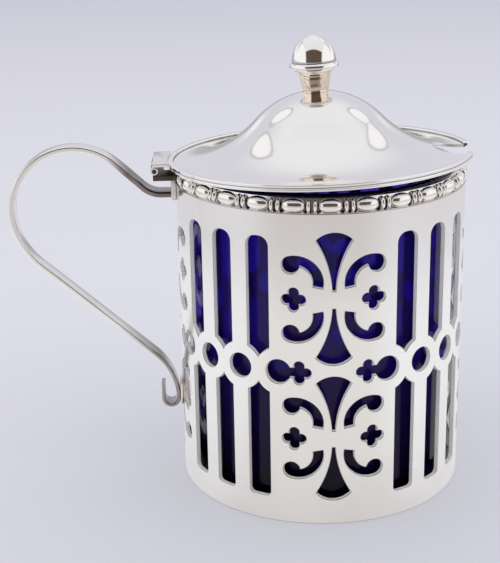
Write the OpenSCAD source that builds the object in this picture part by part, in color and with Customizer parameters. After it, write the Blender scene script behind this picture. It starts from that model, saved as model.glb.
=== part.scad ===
// Mustard pot: a pierced drum with a loose glass liner, a hinged domed lid and a scroll handle.
// Millimetres, Z up. The base stands on Z = 0, the drum's axis is X = Y = 0,
// the hinge and the handle are on the -X side and the spoon notch is on the +X side.

/* [Drum] */
// Outer diameter of the drum
drum_d = 57; // [54:0.5:62]
// Height of the drum's wall, up to the rim moulding
drum_h = 61.7; // [57:0.1:70]
// Thickness of the drum's sheet
drum_t = 0.9; // [0.6:0.1:1.3]
// Thickness of the base plate
base_t = 0.9; // [0.5:0.1:2]

/* [Piercing] */
// Plain border below the lowest cuts
border_low = 5.1; // [3:0.1:8]
// Plain border above the highest cuts
border_high = 3.5; // [2:0.1:6]
// Metal left between the upper and the lower fans
tier_gap = 2.3; // [1.5:0.1:4]
// Drop of the row of round holes below the middle of that gap
row_drop = 0.5; // [0:0.1:1]
// Diameter of the round holes
hole_d = 4.8; // [3.6:0.1:5.4]
// Width of the metal ring round each hole
ring_w = 2.3; // [1.9:0.1:2.8]
// Angle between neighbouring slots
slot_step = 16; // [14.5:0.25:17]
// Width of the slots
slot_w = 4.4; // [3.6:0.1:4.8]
// Drop of the upper slots' top below the fans' top
slot_drop = 1.1; // [0:0.1:2]
// Corner radius at the top of the upper slots
slot_top_r = 1.9; // [0.4:0.1:1.9]
// Corner radius at the foot of the lower slots
slot_foot_r = 0.9; // [0.4:0.1:1.7]
// Width of the fans across their corners
fan_w = 6.7; // [5:0.1:7.4]
// Rise of the fans' outer edge
fan_crown = 1.45; // [0.8:0.05:2]
// Width of the fans at the tip
fan_tip_w = 1.3; // [0.8:0.1:1.8]
// Metal left between the tips of a pair of fans
fan_tip_gap = 3.4; // [2:0.1:5]
// Depth of the hollow in the fans' sides
fan_hollow = 0.66; // [0.2:0.02:0.9]
// Angle from a panel's middle to its four-lobed holes
foil_angle = 15; // [14:0.25:16]
// Angle from a panel's middle to the lobed holes that join the row
row_foil_angle = 13.1; // [12.5:0.1:14.5]
// Diameter of each lobe
lobe_d = 2; // [1.95:0.05:2.3]
// Offset of each lobe from the middle of its hole
lobe_step = 1.3; // [1.1:0.05:1.35]
// Angle from a panel's middle to the scrolls' centres
scroll_angle = 14.3; // [13.5:0.1:15]
// Height of the scrolls' centres from the middle of a pair of fans
scroll_rise = 3.2; // [2.8:0.1:3.8]
// Outer diameter of the scrolls
scroll_d = 10.3; // [9.4:0.1:10.8]
// Width of the scrolls' band
scroll_w = 1.9; // [1.3:0.1:2.3]
// Angle at which a scroll starts, below its centre
scroll_start = 11; // [4:1:16]
// Angle at which a scroll ends
scroll_end = 105; // [90:1:120]
// Diameter of the round end of a scroll
bulb_d = 3.3; // [2.4:0.1:3.6]

/* [Rim moulding] */
// Height of the moulding
moulding_h = 2.6; // [2.2:0.1:3.2]
// Depth of the moulding from the drum's outside to its flat back
moulding_depth = 2; // [1.6:0.1:2.4]
// Number of long beads
bead_count = 26; // [18:1:26]
// Angle from the front to the bead nearest to it, towards the hinge
bead_turn = 1.3; // [0:0.1:6]
// Length of a long bead
bead_l = 3.9; // [3.4:0.1:4]
// Thickness of each of the two reels between the beads
reel_t = 0.8; // [0.6:0.05:1]
// Metal left between the two reels' middles
reel_step = 1.2; // [1.1:0.05:1.5]
// Height lost by a reel at its top and its foot
reel_cut = 0.1; // [0.05:0.05:0.3]
// Drop of the beads' crest behind the drum's outside
bead_inset = 0.1; // [0.1:0.05:0.4]
// Depth of the plain strip behind the beads' crest
strip_inset = 0.8; // [0.6:0.1:1]
// Height of the flat foot that sits on the drum's wall
seat_h = 0.3; // [0.2:0.1:0.6]
// Drop of that foot's edge behind the drum's outside
seat_inset = 0.6; // [0.3:0.05:0.7]

/* [Glass liner] */
// Clearance round the liner inside the moulding
liner_clearance = 0.3; // [0.2:0.05:0.8]
// Thickness of the liner's wall
liner_t = 2; // [1.4:0.1:3]
// Thickness of the liner's floor
liner_floor_t = 3; // [2:0.1:6]
// Height of the liner's rim over the moulding
liner_proud = 0.3; // [0.1:0.05:0.4]
// Gap under the liner
liner_lift = 0.1; // [0.05:0.05:0.3]
// Rounding of the liner's foot
liner_foot_r = 2; // [1:0.1:3]

/* [Lid] */
// Overhang of the lid beyond the drum
lid_overhang = 1.33; // [0.9:0.01:2]
// Height of the lid's lower edge over the moulding, with the lid level
lid_seat = 0.1; // [0.1:0.05:0.6]
// Angle by which the resting lid is raised at the notch
lid_tilt = 1.65; // [1.5:0.05:2.5]
// Angle by which the resting lid leans up at the front on its worn hinge
lid_skew = 1.7; // [0:0.1:1.8]
// Thickness of the lid's sheet
lid_t = 0.6; // [0.5:0.05:0.7]
// Height of the dome's crown over the lid's lower edge
dome_h = 13.2; // [9:0.1:15]
// Height of the dome's edge over the lid's lower edge
dome_edge_h = 0.75; // [0.7:0.05:1.1]
// Radius of the dome's crown
crown_r = 17.2; // [14:0.1:24]
// Width of the rim wire
lid_wire_w = 1; // [0.8:0.05:1.4]
// Height of the rim wire
lid_wire_h = 1.2; // [1.1:0.05:1.6]
// Depth of the groove round the rim wire
lid_groove = 0.18; // [0.1:0.02:0.24]
// Rounding of the rim wire's edges
lid_wire_edge = 0.22; // [0.1:0.02:0.26]

/* [Spoon notch] */
// Angle of the notch from +X towards the front
notch_angle = 6.5; // [0:0.5:30]
// Width of the notch
notch_w = 9.2; // [8.4:0.1:10]
// Depth of the notch from the lid's edge
notch_depth = 7.8; // [6.5:0.1:9]
// Radius of the notch's corner towards the front
notch_front_r = 4.4; // [2:0.1:4.6]
// Radius of the notch's corner towards the back
notch_back_r = 3.6; // [0.6:0.1:3.6]

/* [Finial] */
// Angle by which the finial leans towards the hinge
finial_lean = 1.3; // [0:0.1:2]
// Diameter of the stem's foot
stem_foot_d = 5; // [4.8:0.1:7]
// Thickness of the stem's foot at its edge
stem_foot_h = 0.2; // [0.2:0.1:0.6]
// Diameter of the stem at its middle
stem_mid_d = 5.5; // [4.8:0.1:6]
// Height of the stem's middle over the dome's crown
stem_mid_h = 1.3; // [1:0.1:1.6]
// Diameter of the stem below its flare
stem_top_d = 6.3; // [6:0.1:7.4]
// Height of the stem over the dome's crown
stem_h = 4; // [3.6:0.1:6]
// Height of the flare at the top of the stem
stem_flare_h = 0.8; // [0.5:0.1:1.2]
// Diameter of the acorn's cup
cup_d = 9.6; // [8.4:0.1:12]
// Height of the acorn's cup
cup_h = 1.65; // [0.8:0.05:2]
// Diameter of the nut where it leaves the cup
nut_d = 8.7; // [7:0.1:9.2]
// Height of the nut over the cup
nut_h = 5.2; // [4:0.1:8]
// Fullness of the nut's curve
nut_power = 1.8; // [1.3:0.05:2]

/* [Hinge] */
// Distance of the hinge pin from the drum's outside
hinge_out = 3.9; // [3.5:0.1:5]
// Height of the hinge pin over the moulding
hinge_rise = 0.3; // [0.2:0.05:0.6]
// Length of the hinge
hinge_l = 11; // [9:0.1:14]
// Outer diameter of the knuckles
knuckle_d = 1.5; // [1.4:0.05:1.7]
// Gap between neighbouring knuckles
knuckle_gap = 0.1; // [0.05:0.01:0.2]
// Diameter of the hinge pin
hinge_pin_d = 0.76; // [0.6:0.02:0.84]
// Running clearance round the hinge pin
pin_clearance = 0.03; // [0.02:0.01:0.06]
// Gap between a leaf and the other leaf's knuckles
leaf_clearance = 0.1; // [0.06:0.02:0.2]
// Thickness of the body's leaf
body_leaf_t = 1; // [0.6:0.1:1.2]
// Thickness of the lid's leaf
lid_leaf_t = 0.6; // [0.5:0.05:0.8]
// Thickness of the lug that drops from the lid's leaf along the lid's edge
lug_t = 0.7; // [0.5:0.05:1]
// Drop of that lug below the lid's leaf
lug_drop = 0.6; // [0.4:0.05:0.9]
// Reach of the leaves beyond the hinge pin
leaf_reach = 0.3; // [0.2:0.05:0.4]
// Depth of the saddle that holds a knuckle
saddle_h = 0.45; // [0.3:0.05:0.6]

/* [Handle] */
// Width of the handle's strap
handle_w = 4.6; // [3.6:0.1:6]
// Thickness of the handle's strap in the loop
handle_t = 1.1; // [0.8:0.05:1.4]
// Thickness of the handle's strap at the curl
curl_t = 0.75; // [0.5:0.05:1]
// Drop of the handle's root below the top of the drum's wall
handle_drop = 2.6; // [2:0.1:6]
// Straight length at the root
root_l = 1.9; // [1:0.1:4]
// Radius of the bend after the root
root_r = 5.2; // [4:0.1:8]
// Angle of the rise after that bend
rise_angle = 43; // [36:0.5:48]
// Straight length of the rise
rise_l = 6.9; // [5:0.1:10]
// Radius of the loop
loop_r = 12.4; // [10:0.1:14]
// Radius of the fall below the loop
fall_r = 15; // [13:0.1:19]
// Slope of the long run down to the drum
run_angle = 41.5; // [39:0.5:44]
// Radius of the bend that turns the run down along the drum
foot_r = 13.4; // [11:0.1:18]
// Radius of the curl at the handle's end
curl_r = 1.55; // [1.2:0.05:2]
// Straight length of the curl's end
curl_l = 3; // [2:0.1:5]
// Thickness of the upper pad
upper_pad_t = 0.9; // [0.6:0.1:1.6]
// Width of the upper pad
upper_pad_w = 6; // [5:0.1:8]
// Drop of the upper pad's foot below the strap
upper_pad_drop = 0.4; // [0.2:0.1:1.5]
// Thickness of the lower pad
lower_pad_t = 0.5; // [0.4:0.1:1.6]
// Width of the lower pad
lower_pad_w = 4.6; // [3.6:0.1:6]
// Height of the lower pad
lower_pad_h = 4.8; // [3:0.1:6]
// Drop of the lower pad's foot below the start of the curl
lower_pad_drop = 1.2; // [0.5:0.1:2]

/* [Fits] */
// Seam left between soldered pieces
seam = 0.02; // [0.01:0.01:0.04]

/* [Hidden] */
$fn = 96;
fine = 240;
handle_z = drum_h - handle_drop;
drum_r = drum_d / 2;
drum_inner_r = drum_r - drum_t;
lid_r = drum_r + lid_overhang;
moulding_inner_r = drum_r - moulding_depth;
moulding_top = drum_h + moulding_h;
bead_r = moulding_h / 2;
bead_path_r = drum_r - bead_inset - bead_r;
liner_r = moulding_inner_r - liner_clearance;
liner_z = base_t + liner_lift;
liner_top = moulding_top + liner_proud;
hinge_x = -(drum_r + hinge_out);
hinge_z = moulding_top + hinge_rise;
lid_seat_z = moulding_top + lid_seat;
knuckle_r = knuckle_d / 2;
knuckle_count = 5;
knuckle_l = hinge_l / knuckle_count;
leaf_off = knuckle_r + leaf_clearance;
panel_count = 4;
panel_step = 360 / panel_count;
// Cuts run past the wall on both sides by this much
cut_over = 1.5;
tier_h = (drum_h - border_low - border_high - tier_gap) / 2;
low_tier_z = border_low + tier_h / 2;
high_tier_z = drum_h - border_high - tier_h / 2;
row_z = border_low + tier_h + tier_gap / 2 - row_drop;
ring_r = hole_d / 2 + ring_w;
// Distance of a slot's middle from the middles of the two holes beside it
slot_ring_x = arc_len(slot_step / 2);
dome_edge_r = lid_r - lid_wire_w;
// The dome's crown and its hollow skirt are two arcs that meet at this angle
ogee_angle = 2 * atan((dome_h - dome_edge_h) / dome_edge_r);
skirt_r = dome_edge_r / sin(ogee_angle) - crown_r;
// Straight steps in which each kind of curve is drawn
arc_steps = 10;
scroll_steps = 7;
lobe_steps = 5;
crown_steps = 4;
side_steps = 3;

function arc_len(angle) = drum_r * angle * PI / 180;

function arc_points(center, r, from, to, steps) =
    [for (i = [0 : steps])
        let (a = from + (to - from) * i / steps)
        center + r * [cos(a), sin(a)]];

function bearing(v) = atan2(v[1], v[0]);

function inner_points(list) = [for (i = [1 : len(list) - 2]) list[i]];

// The same outline on the other side of the middle line, in reverse order
function mirrored(list) = [for (i = [len(list) - 1 : -1 : 0]) [-list[i][0], list[i][1]]];

function on_path(point, heading, side) = point + side * [cos(heading + 90), sin(heading + 90)];

// Points and headings along an arc that starts at a point with a heading and turns by an angle
function turn(start, r, by, steps) =
    let (sign = by > 0 ? 1 : -1)
    let (hub = on_path([start[0], start[1]], start[2], sign * r))
    [for (i = [1 : steps])
        let (heading = start[2] + by * i / steps)
        let (p = on_path(hub, heading, -sign * r))
        [p[0], p[1], heading]];

function go(start, length) =
    [start[0] + length * cos(start[2]), start[1] + length * sin(start[2]), start[2]];

function last(list) = list[len(list) - 1];

module pierce(angle) {
    rotate([0, 0, angle])
        translate([0, cut_over + drum_t - drum_r, 0])
            rotate([90, 0, 0])
                linear_extrude(height = drum_t + 2 * cut_over)
                    children();
}

module fan() {
    tip = [fan_tip_w / 2, fan_tip_gap / 2];
    corner = [fan_w / 2, tier_h / 2 - fan_crown];
    half = norm(corner - tip) / 2;
    along = (corner - tip) / (2 * half);
    side_r = (half * half + fan_hollow * fan_hollow) / (2 * fan_hollow);
    side_hub = (tip + corner) / 2 + [along[1], -along[0]] * (side_r - fan_hollow);
    side_from = bearing(tip - side_hub);
    side_to = bearing(corner - side_hub);
    side = arc_points(side_hub, side_r, side_from, side_to, side_steps);
    crown_edge_r = (fan_w * fan_w / 4 + fan_crown * fan_crown) / (2 * fan_crown);
    crown_half = asin(fan_w / 2 / crown_edge_r);
    crown_hub = [0, tier_h / 2 - crown_edge_r];
    crown = arc_points(crown_hub, crown_edge_r, 90 - crown_half, 90 + crown_half, crown_steps);
    polygon(concat(side, inner_points(crown), mirrored(side)));
}

module quatrefoil() {
    lobe_r = lobe_d / 2;
    // Neighbouring lobes meet on the diagonals at this distance along each axis
    meet = lobe_step / 2 + sqrt(lobe_r * lobe_r / 2 - lobe_step * lobe_step / 4);
    half = bearing([meet - lobe_step, meet]);
    polygon([for (quarter = [0 : 90 : 270])
        for (i = [0 : lobe_steps - 1])
            let (a = quarter - half + 2 * half * i / lobe_steps)
            lobe_step * [cos(quarter), sin(quarter)] + lobe_r * [cos(a), sin(a)]]);
}

module scroll() {
    outer = scroll_d / 2;
    inner = outer - scroll_w;
    bulb_r = bulb_d / 2;
    hub_r = outer - bulb_r;
    hub = hub_r * [cos(scroll_end), sin(scroll_end)];
    // The round end runs into the band's inner edge at this angle about the scroll's centre
    join = scroll_end - acos((hub_r * hub_r + inner * inner - bulb_r * bulb_r) / (2 * hub_r * inner));
    join_bearing = bearing(inner * [cos(join), sin(join)] - hub);
    bulb_to = join_bearing > scroll_end ? join_bearing : join_bearing + 360;
    polygon(concat(
        arc_points([0, 0], outer, -scroll_start, scroll_end, scroll_steps),
        inner_points(arc_points(hub, bulb_r, scroll_end, bulb_to, scroll_steps)),
        arc_points([0, 0], inner, join, -scroll_start, scroll_steps)));
}

module panel_middle() {
    for (z = [low_tier_z, high_tier_z])
        for (flip = [0, 1])
            translate([0, z])
                mirror([0, flip])
                    fan();
}

module panel_side() {
    for (z = [low_tier_z, high_tier_z]) {
        translate([0, z])
            quatrefoil();
        for (flip = [0, 1])
            translate([arc_len(scroll_angle - foil_angle), z])
                mirror([0, flip])
                    translate([0, scroll_rise])
                        mirror([1, 0])
                            scroll();
    }
    translate([arc_len(row_foil_angle - foil_angle), row_z])
        quatrefoil();
}

// Edge of a slot along the two rings at the row, from its left corner over the cusp to its right corner
function slot_ends(up) =
    let (cusp = atan2(sqrt(ring_r * ring_r - slot_ring_x * slot_ring_x), slot_ring_x))
    let (corner = acos((slot_ring_x - slot_w / 2) / ring_r))
    let (left = arc_points([-slot_ring_x, 0], ring_r, corner, cusp, side_steps))
    let (right = [for (i = [len(left) - 2 : -1 : 0]) [-left[i][0], left[i][1]]])
    [for (p = concat(left, right)) [p[0], row_z + up * p[1]]];

module high_slot() {
    top = drum_h - border_high - slot_drop;
    x = slot_w / 2 - slot_top_r;
    polygon(concat(
        slot_ends(1),
        arc_points([x, top - slot_top_r], slot_top_r, 0, 90, side_steps),
        arc_points([-x, top - slot_top_r], slot_top_r, 90, 180, side_steps)));
}

module low_slot() {
    x = slot_w / 2 - slot_foot_r;
    polygon(concat(
        slot_ends(-1),
        arc_points([x, border_low + slot_foot_r], slot_foot_r, 0, -90, side_steps),
        arc_points([-x, border_low + slot_foot_r], slot_foot_r, -90, -180, side_steps)));
}

module drum_shell() {
    difference() {
        cylinder(r = drum_r, h = drum_h);
        translate([0, 0, -cut_over])
            cylinder(r = drum_inner_r, h = drum_h + 2 * cut_over);
    }
}

module panel_cuts(middle) {
    between = middle + panel_step / 2;
    pierce(middle)
        panel_middle();
    pierce(middle + foil_angle)
        panel_side();
    pierce(middle - foil_angle)
        mirror([1, 0])
            panel_side();
    for (k = [-1, 0, 1])
        pierce(between + k * slot_step) {
            high_slot();
            low_slot();
        }
    for (k = [-1.5, -0.5, 0.5, 1.5])
        pierce(between + k * slot_step)
            translate([0, row_z])
                circle(d = hole_d);
}

module drum_wall() {
    color([0.86, 0.86, 0.85])
        difference() {
            drum_shell();
            for (panel = [0 : panel_count - 1])
                panel_cuts(panel * panel_step);
        }
}

module base_plate() {
    color([0.80, 0.80, 0.79])
        cylinder(r = drum_inner_r - seam, h = base_t);
}

module rim_moulding() {
    bead_z = drum_h + bead_r;
    bead_step = 360 / bead_count;
    color([0.84, 0.83, 0.82])
        difference() {
            union() {
                translate([0, 0, drum_h])
                    cylinder(r = drum_r - strip_inset, h = moulding_h);
                translate([0, 0, drum_h])
                    cylinder(r = drum_r - seat_inset, h = seat_h);
                for (k = [0 : bead_count - 1]) {
                    rotate([0, 0, k * bead_step - bead_turn])
                        translate([0, -bead_path_r, bead_z])
                            rotate([0, 90, 0])
                                bead();
                    for (side = [-1, 1])
                        rotate([0, 0, (k + 0.5) * bead_step - bead_turn])
                            translate([side * reel_step / 2, -bead_path_r, bead_z])
                                rotate([0, 90, 0])
                                    cylinder(r = bead_r - reel_cut, h = reel_t, center = true);
                }
            }
            translate([0, 0, drum_h - cut_over])
                cylinder(r = moulding_inner_r, h = moulding_h + 2 * cut_over);
        }
}

module bead() {
    cylinder(r = bead_r, h = bead_l - 2 * bead_r, center = true);
    for (side = [-1, 1])
        translate([0, 0, side * (bead_l / 2 - bead_r)])
            sphere(r = bead_r);
}

module glass_liner() {
    inner_r = liner_r - liner_t;
    floor_z = liner_z + liner_floor_t;
    lip_r = liner_t / 2;
    lip_z = liner_top - lip_r;
    color([0.06, 0.04, 0.38, 0.9])
        rotate_extrude()
            polygon(concat(
                [[0, liner_z]],
                arc_points([liner_r - liner_foot_r, liner_z + liner_foot_r], liner_foot_r, -90, 0, arc_steps),
                arc_points([liner_r - lip_r, lip_z], lip_r, 0, 180, arc_steps),
                arc_points([inner_r - liner_foot_r, floor_z + liner_foot_r], liner_foot_r, 0, -90, arc_steps),
                [[0, floor_z]]));
}

// Puts a piece that turns on the hinge where the lid rests
module on_hinge() {
    translate([hinge_x, 0, hinge_z])
        rotate([0, -lid_tilt, 0])
            translate([-hinge_x, 0, lid_seat_z - hinge_z])
                children();
}

// Puts a piece that is built on a level lid where the lid rests
module on_lid() {
    on_hinge()
        rotate([-lid_skew, 0, 0])
            children();
}

// Puts a piece of the finial on the lid, leaning about the hub of the dome's crown
module on_crown() {
    hub_z = dome_h - crown_r;
    on_lid()
        translate([0, 0, hub_z])
            rotate([0, -finial_lean, 0])
                translate([0, 0, -hub_z])
                    children();
}

module notch() {
    outer = notch_depth + cut_over;
    half = notch_w / 2;
    rotate([0, 0, -notch_angle])
        translate([lid_r - notch_depth, 0, -cut_over])
            linear_extrude(height = dome_h + 2 * cut_over) {
                intersection() {
                    translate([notch_front_r, notch_front_r - half])
                        circle(r = notch_front_r);
                    translate([0, -half])
                        square([notch_front_r, notch_front_r]);
                }
                translate([notch_front_r, -half])
                    square([outer - notch_front_r, notch_w]);
                translate([0, notch_front_r - half])
                    square([outer, notch_w - notch_front_r - notch_back_r]);
                translate([notch_back_r, notch_front_r - half])
                    square([outer - notch_back_r, notch_w - notch_front_r]);
                translate([notch_back_r, half - notch_back_r])
                    circle(r = notch_back_r);
            }
}

module lid_dome() {
    crown_hub = [0, dome_h - crown_r];
    skirt_hub = [dome_edge_r, dome_edge_h + skirt_r];
    edge_r = dome_edge_r - seam;
    color([0.88, 0.88, 0.87])
        on_lid()
            difference() {
                intersection() {
                    rotate_extrude()
                        polygon(concat(
                            arc_points(crown_hub, crown_r, 90, 90 - ogee_angle, arc_steps),
                            arc_points(skirt_hub, skirt_r, 270 - ogee_angle, 270, arc_steps),
                            arc_points(skirt_hub, skirt_r + lid_t, 270, 270 - ogee_angle, arc_steps),
                            arc_points(crown_hub, crown_r - lid_t, 90 - ogee_angle, 90, arc_steps)));
                    cylinder(r = edge_r, h = dome_h + cut_over);
                }
                notch();
            }
}

module lid_wire() {
    inner = lid_r - lid_wire_w;
    mid = lid_wire_h / 2;
    color([0.90, 0.90, 0.89])
        on_lid()
            difference() {
                rotate_extrude()
                    polygon([[inner, 0],
                             [lid_r - lid_wire_edge, 0],
                             [lid_r, lid_wire_edge],
                             [lid_r, mid - lid_groove],
                             [lid_r - lid_groove, mid],
                             [lid_r, mid + lid_groove],
                             [lid_r, lid_wire_h - lid_wire_edge],
                             [lid_r - lid_wire_edge, lid_wire_h],
                             [inner, lid_wire_h]]);
                notch();
            }
}

module finial_stem() {
    foot_r = stem_foot_d / 2;
    crown_hub = [0, dome_h - crown_r];
    foot_angle = asin(foot_r / (crown_r + seam));
    foot_z = dome_h - crown_r + (crown_r + seam) * cos(foot_angle) + stem_foot_h;
    middle = [stem_mid_d / 2, dome_h + stem_mid_h];
    flare_z = dome_h + stem_h - stem_flare_h;
    color([0.80, 0.76, 0.70])
        on_crown()
            rotate_extrude()
                polygon(concat(
                    arc_points(crown_hub, crown_r + seam, 90, 90 - foot_angle, arc_steps),
                    [[foot_r, foot_z],
                     middle,
                     [stem_top_d / 2, flare_z],
                     [cup_d / 2 - stem_flare_h * 0.4, flare_z + stem_flare_h * 0.6],
                     [cup_d / 2 - seam, dome_h + stem_h],
                     [0, dome_h + stem_h]]));
}

module finial_acorn() {
    cup_z = dome_h + stem_h;
    nut_z = cup_z + cup_h;
    color([0.86, 0.86, 0.85])
        on_crown()
            rotate_extrude()
                polygon(concat(
                    [[0, cup_z],
                     [cup_d / 2, cup_z],
                     [cup_d / 2, nut_z]],
                    [for (i = [0 : arc_steps])
                        let (a = 90 * i / arc_steps)
                        [nut_d / 2 * pow(cos(a), 2 / nut_power),
                         nut_z + nut_h * pow(sin(a), 2 / nut_power)]]));
}

// Middle line of the strap as points with headings, from the upper pad to the curl's end
root_start = [-(drum_r + upper_pad_t), handle_z, 180];
root_end = go(root_start, root_l);
root_bend = turn(root_end, root_r, -rise_angle, arc_steps);
rise_end = go(last(root_bend), rise_l);
loop_bend = turn(rise_end, loop_r, 90 + rise_angle, 3 * arc_steps);
fall_bend = turn(last(loop_bend), fall_r, 90 - run_angle, arc_steps);
foot_x = -(drum_r + lower_pad_t + curl_t / 2);
run_l = (foot_x - last(fall_bend)[0] - foot_r * (1 - sin(run_angle))) / cos(run_angle);
run_end = go(last(fall_bend), run_l);
foot_bend = turn(run_end, foot_r, run_angle - 90, arc_steps);
curl_bend = turn(last(foot_bend), curl_r, -180, 2 * arc_steps);
curl_end = go(last(curl_bend), curl_l);
// The strap thins along the run, between these two stretches of its line
upper_line = concat([root_start, root_end], root_bend, [rise_end], loop_bend, fall_bend);
lower_line = concat([run_end], foot_bend, curl_bend, [curl_end]);

function strap_side(side) = concat(
    [for (p = upper_line) on_path([p[0], p[1]], p[2], side * handle_t / 2)],
    [for (p = lower_line) on_path([p[0], p[1]], p[2], side * curl_t / 2)]);

function backwards(list) = [for (i = [len(list) - 1 : -1 : 0]) list[i]];

module handle() {
    color([0.78, 0.77, 0.76])
        translate([0, handle_w / 2, 0])
            rotate([90, 0, 0])
                linear_extrude(height = handle_w)
                    polygon(concat(strap_side(1), backwards(strap_side(-1))));
}

// Block between the drum and the plane in which a strap meets it, hollowed to the drum
module pad(width, thick, low, high) {
    difference() {
        translate([-(drum_r + thick), -width / 2, low])
            cube([thick + drum_r / 4, width, high - low]);
        translate([0, 0, low - cut_over])
            cylinder(r = drum_r + seam, h = high - low + 2 * cut_over, $fn = fine);
    }
}

module handle_upper_pad() {
    low = handle_z - handle_t / 2 - upper_pad_drop;
    // The pad reaches up to the body's hinge leaf and carries it
    high = hinge_z - leaf_off - body_leaf_t - seam;
    color([0.78, 0.77, 0.75])
        pad(upper_pad_w, upper_pad_t, low, high);
}

module handle_lower_pad() {
    low = last(foot_bend)[1] - lower_pad_drop;
    color([0.80, 0.74, 0.70])
        pad(lower_pad_w, lower_pad_t, low, low + lower_pad_h);
}

// Lengths of tube on the hinge's axis, one at each listed place along it
module knuckles(places) {
    for (k = places)
        translate([0, (k - (knuckle_count - 1) / 2) * knuckle_l, 0])
            rotate([90, 0, 0])
                difference() {
                    cylinder(r = knuckle_r, h = knuckle_l - knuckle_gap, center = true);
                    cylinder(r = hinge_pin_d / 2 + pin_clearance, h = knuckle_l, center = true);
                }
}

// Blocks that reach from a leaf to its own knuckles and are hollowed to hold them
module saddles(places) {
    for (k = places)
        translate([0, (k - (knuckle_count - 1) / 2) * knuckle_l, 0])
            difference() {
                translate([-leaf_reach, (knuckle_gap - knuckle_l) / 2, leaf_off - saddle_h])
                    cube([2 * leaf_reach, knuckle_l - knuckle_gap, saddle_h]);
                rotate([90, 0, 0])
                    cylinder(r = knuckle_r + seam, h = knuckle_l, center = true);
            }
}

module hinge_body_leaf() {
    color([0.66, 0.65, 0.63])
        difference() {
            translate([hinge_x, 0, hinge_z])
                mirror([0, 0, 1]) {
                    translate([-leaf_reach, -hinge_l / 2, leaf_off])
                        cube([leaf_reach + hinge_out + drum_r / 8, hinge_l, body_leaf_t]);
                    saddles([0, 2, 4]);
                }
            cylinder(r = drum_r + seam, h = hinge_z + cut_over, $fn = fine);
        }
}

module hinge_body_knuckles() {
    color([0.62, 0.61, 0.60])
        translate([hinge_x, 0, hinge_z])
            knuckles([0, 2, 4]);
}

module hinge_lid_leaf() {
    axis_z = hinge_z - lid_seat_z;
    color([0.70, 0.69, 0.67])
        on_hinge()
            difference() {
                translate([hinge_x, 0, axis_z]) {
                    translate([-leaf_reach, -hinge_l / 2, leaf_off])
                        cube([leaf_reach + hinge_out + drum_r / 8, hinge_l, lid_leaf_t]);
                    translate([hinge_out - lid_overhang - lug_t, -hinge_l / 2, leaf_off - lug_drop])
                        cube([lug_t + drum_r / 8, hinge_l, lug_drop]);
                    saddles([1, 3]);
                }
                translate([0, 0, -cut_over])
                    cylinder(r = lid_r + seam, h = dome_h + 2 * cut_over, $fn = fine);
            }
}

module hinge_lid_knuckles() {
    color([0.64, 0.63, 0.62])
        on_hinge()
            translate([hinge_x, 0, hinge_z - lid_seat_z])
                knuckles([1, 3]);
}

module hinge_pin() {
    color([0.72, 0.71, 0.70])
        translate([hinge_x, 0, hinge_z])
            rotate([90, 0, 0])
                cylinder(d = hinge_pin_d, h = hinge_l, center = true);
}

drum_wall();
base_plate();
rim_moulding();
glass_liner();
lid_dome();
lid_wire();
finial_stem();
finial_acorn();
handle();
handle_upper_pad();
handle_lower_pad();
hinge_body_leaf();
hinge_body_knuckles();
hinge_lid_leaf();
hinge_lid_knuckles();
hinge_pin();
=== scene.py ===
import math

import bmesh
import bpy
import numpy as np
from mathutils import Matrix, Vector
from mathutils.geometry import delaunay_2d_cdt


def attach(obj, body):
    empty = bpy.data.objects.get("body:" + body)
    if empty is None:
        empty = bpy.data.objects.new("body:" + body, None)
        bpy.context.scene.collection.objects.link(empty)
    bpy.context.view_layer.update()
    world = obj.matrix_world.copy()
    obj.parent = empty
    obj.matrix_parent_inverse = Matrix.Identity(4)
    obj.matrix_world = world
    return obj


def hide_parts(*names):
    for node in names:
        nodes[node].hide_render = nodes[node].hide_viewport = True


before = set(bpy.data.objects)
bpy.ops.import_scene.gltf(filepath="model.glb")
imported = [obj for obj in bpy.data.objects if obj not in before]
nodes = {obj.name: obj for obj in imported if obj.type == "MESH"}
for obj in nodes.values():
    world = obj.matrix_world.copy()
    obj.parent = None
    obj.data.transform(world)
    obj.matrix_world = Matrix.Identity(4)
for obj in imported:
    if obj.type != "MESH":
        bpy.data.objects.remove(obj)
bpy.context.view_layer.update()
mm = 0.001  # sizes below are in millimetres, Blender's own in metres
print("frame loaded with", len(nodes), "nodes")

view = {
    "place": (-23.09, -248.56, 124.08),
    "target": (-14.16, 0.51, 39.78),
    "roll": -1.048,
    "lens": 82.85,
    "sensor": 36.0,
}


def makeCamera(s):
    data = bpy.data.cameras.new("photoCamera")
    data.sensor_fit = "VERTICAL"
    data.sensor_height = s["sensor"]
    data.lens = s["lens"]
    data.clip_start = 0.01
    data.clip_end = 30.0
    place = Vector(s["place"]) * mm
    forward = (Vector(s["target"]) * mm - place).normalized()
    right = forward.cross(Vector((0, 0, 1))).normalized()
    up = right.cross(forward)
    roll = math.radians(s["roll"])
    across = right * math.cos(roll) + up * math.sin(roll)
    upward = up * math.cos(roll) - right * math.sin(roll)
    camera = bpy.data.objects.new("photoCamera", data)
    turned = Matrix((across, upward, -forward)).transposed().to_4x4()
    camera.matrix_world = Matrix.Translation(place) @ turned
    bpy.context.scene.collection.objects.link(camera)
    bpy.context.scene.camera = camera


makeCamera(view)
print("camera set")


# small helpers for trees of nodes, in materials and in geometry alike
def put(tree, kind, feeds=None, **options):
    node = tree.nodes.new(kind)
    for key, value in options.items():
        setattr(node, key, value)
    for key, value in (feeds or {}).items():
        if isinstance(value, bpy.types.NodeSocket):
            tree.links.new(value, node.inputs[key])
        else:
            node.inputs[key].default_value = value
    return node


def calc(tree, operation, a, b=0.0):
    return put(tree, "ShaderNodeMath", {0: a, 1: b}, operation=operation).outputs[0]


def times(tree, a, b):
    return calc(tree, "MULTIPLY", a, b)


def inDegrees(tree, angle):
    return times(tree, angle, 180 / math.pi)


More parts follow.
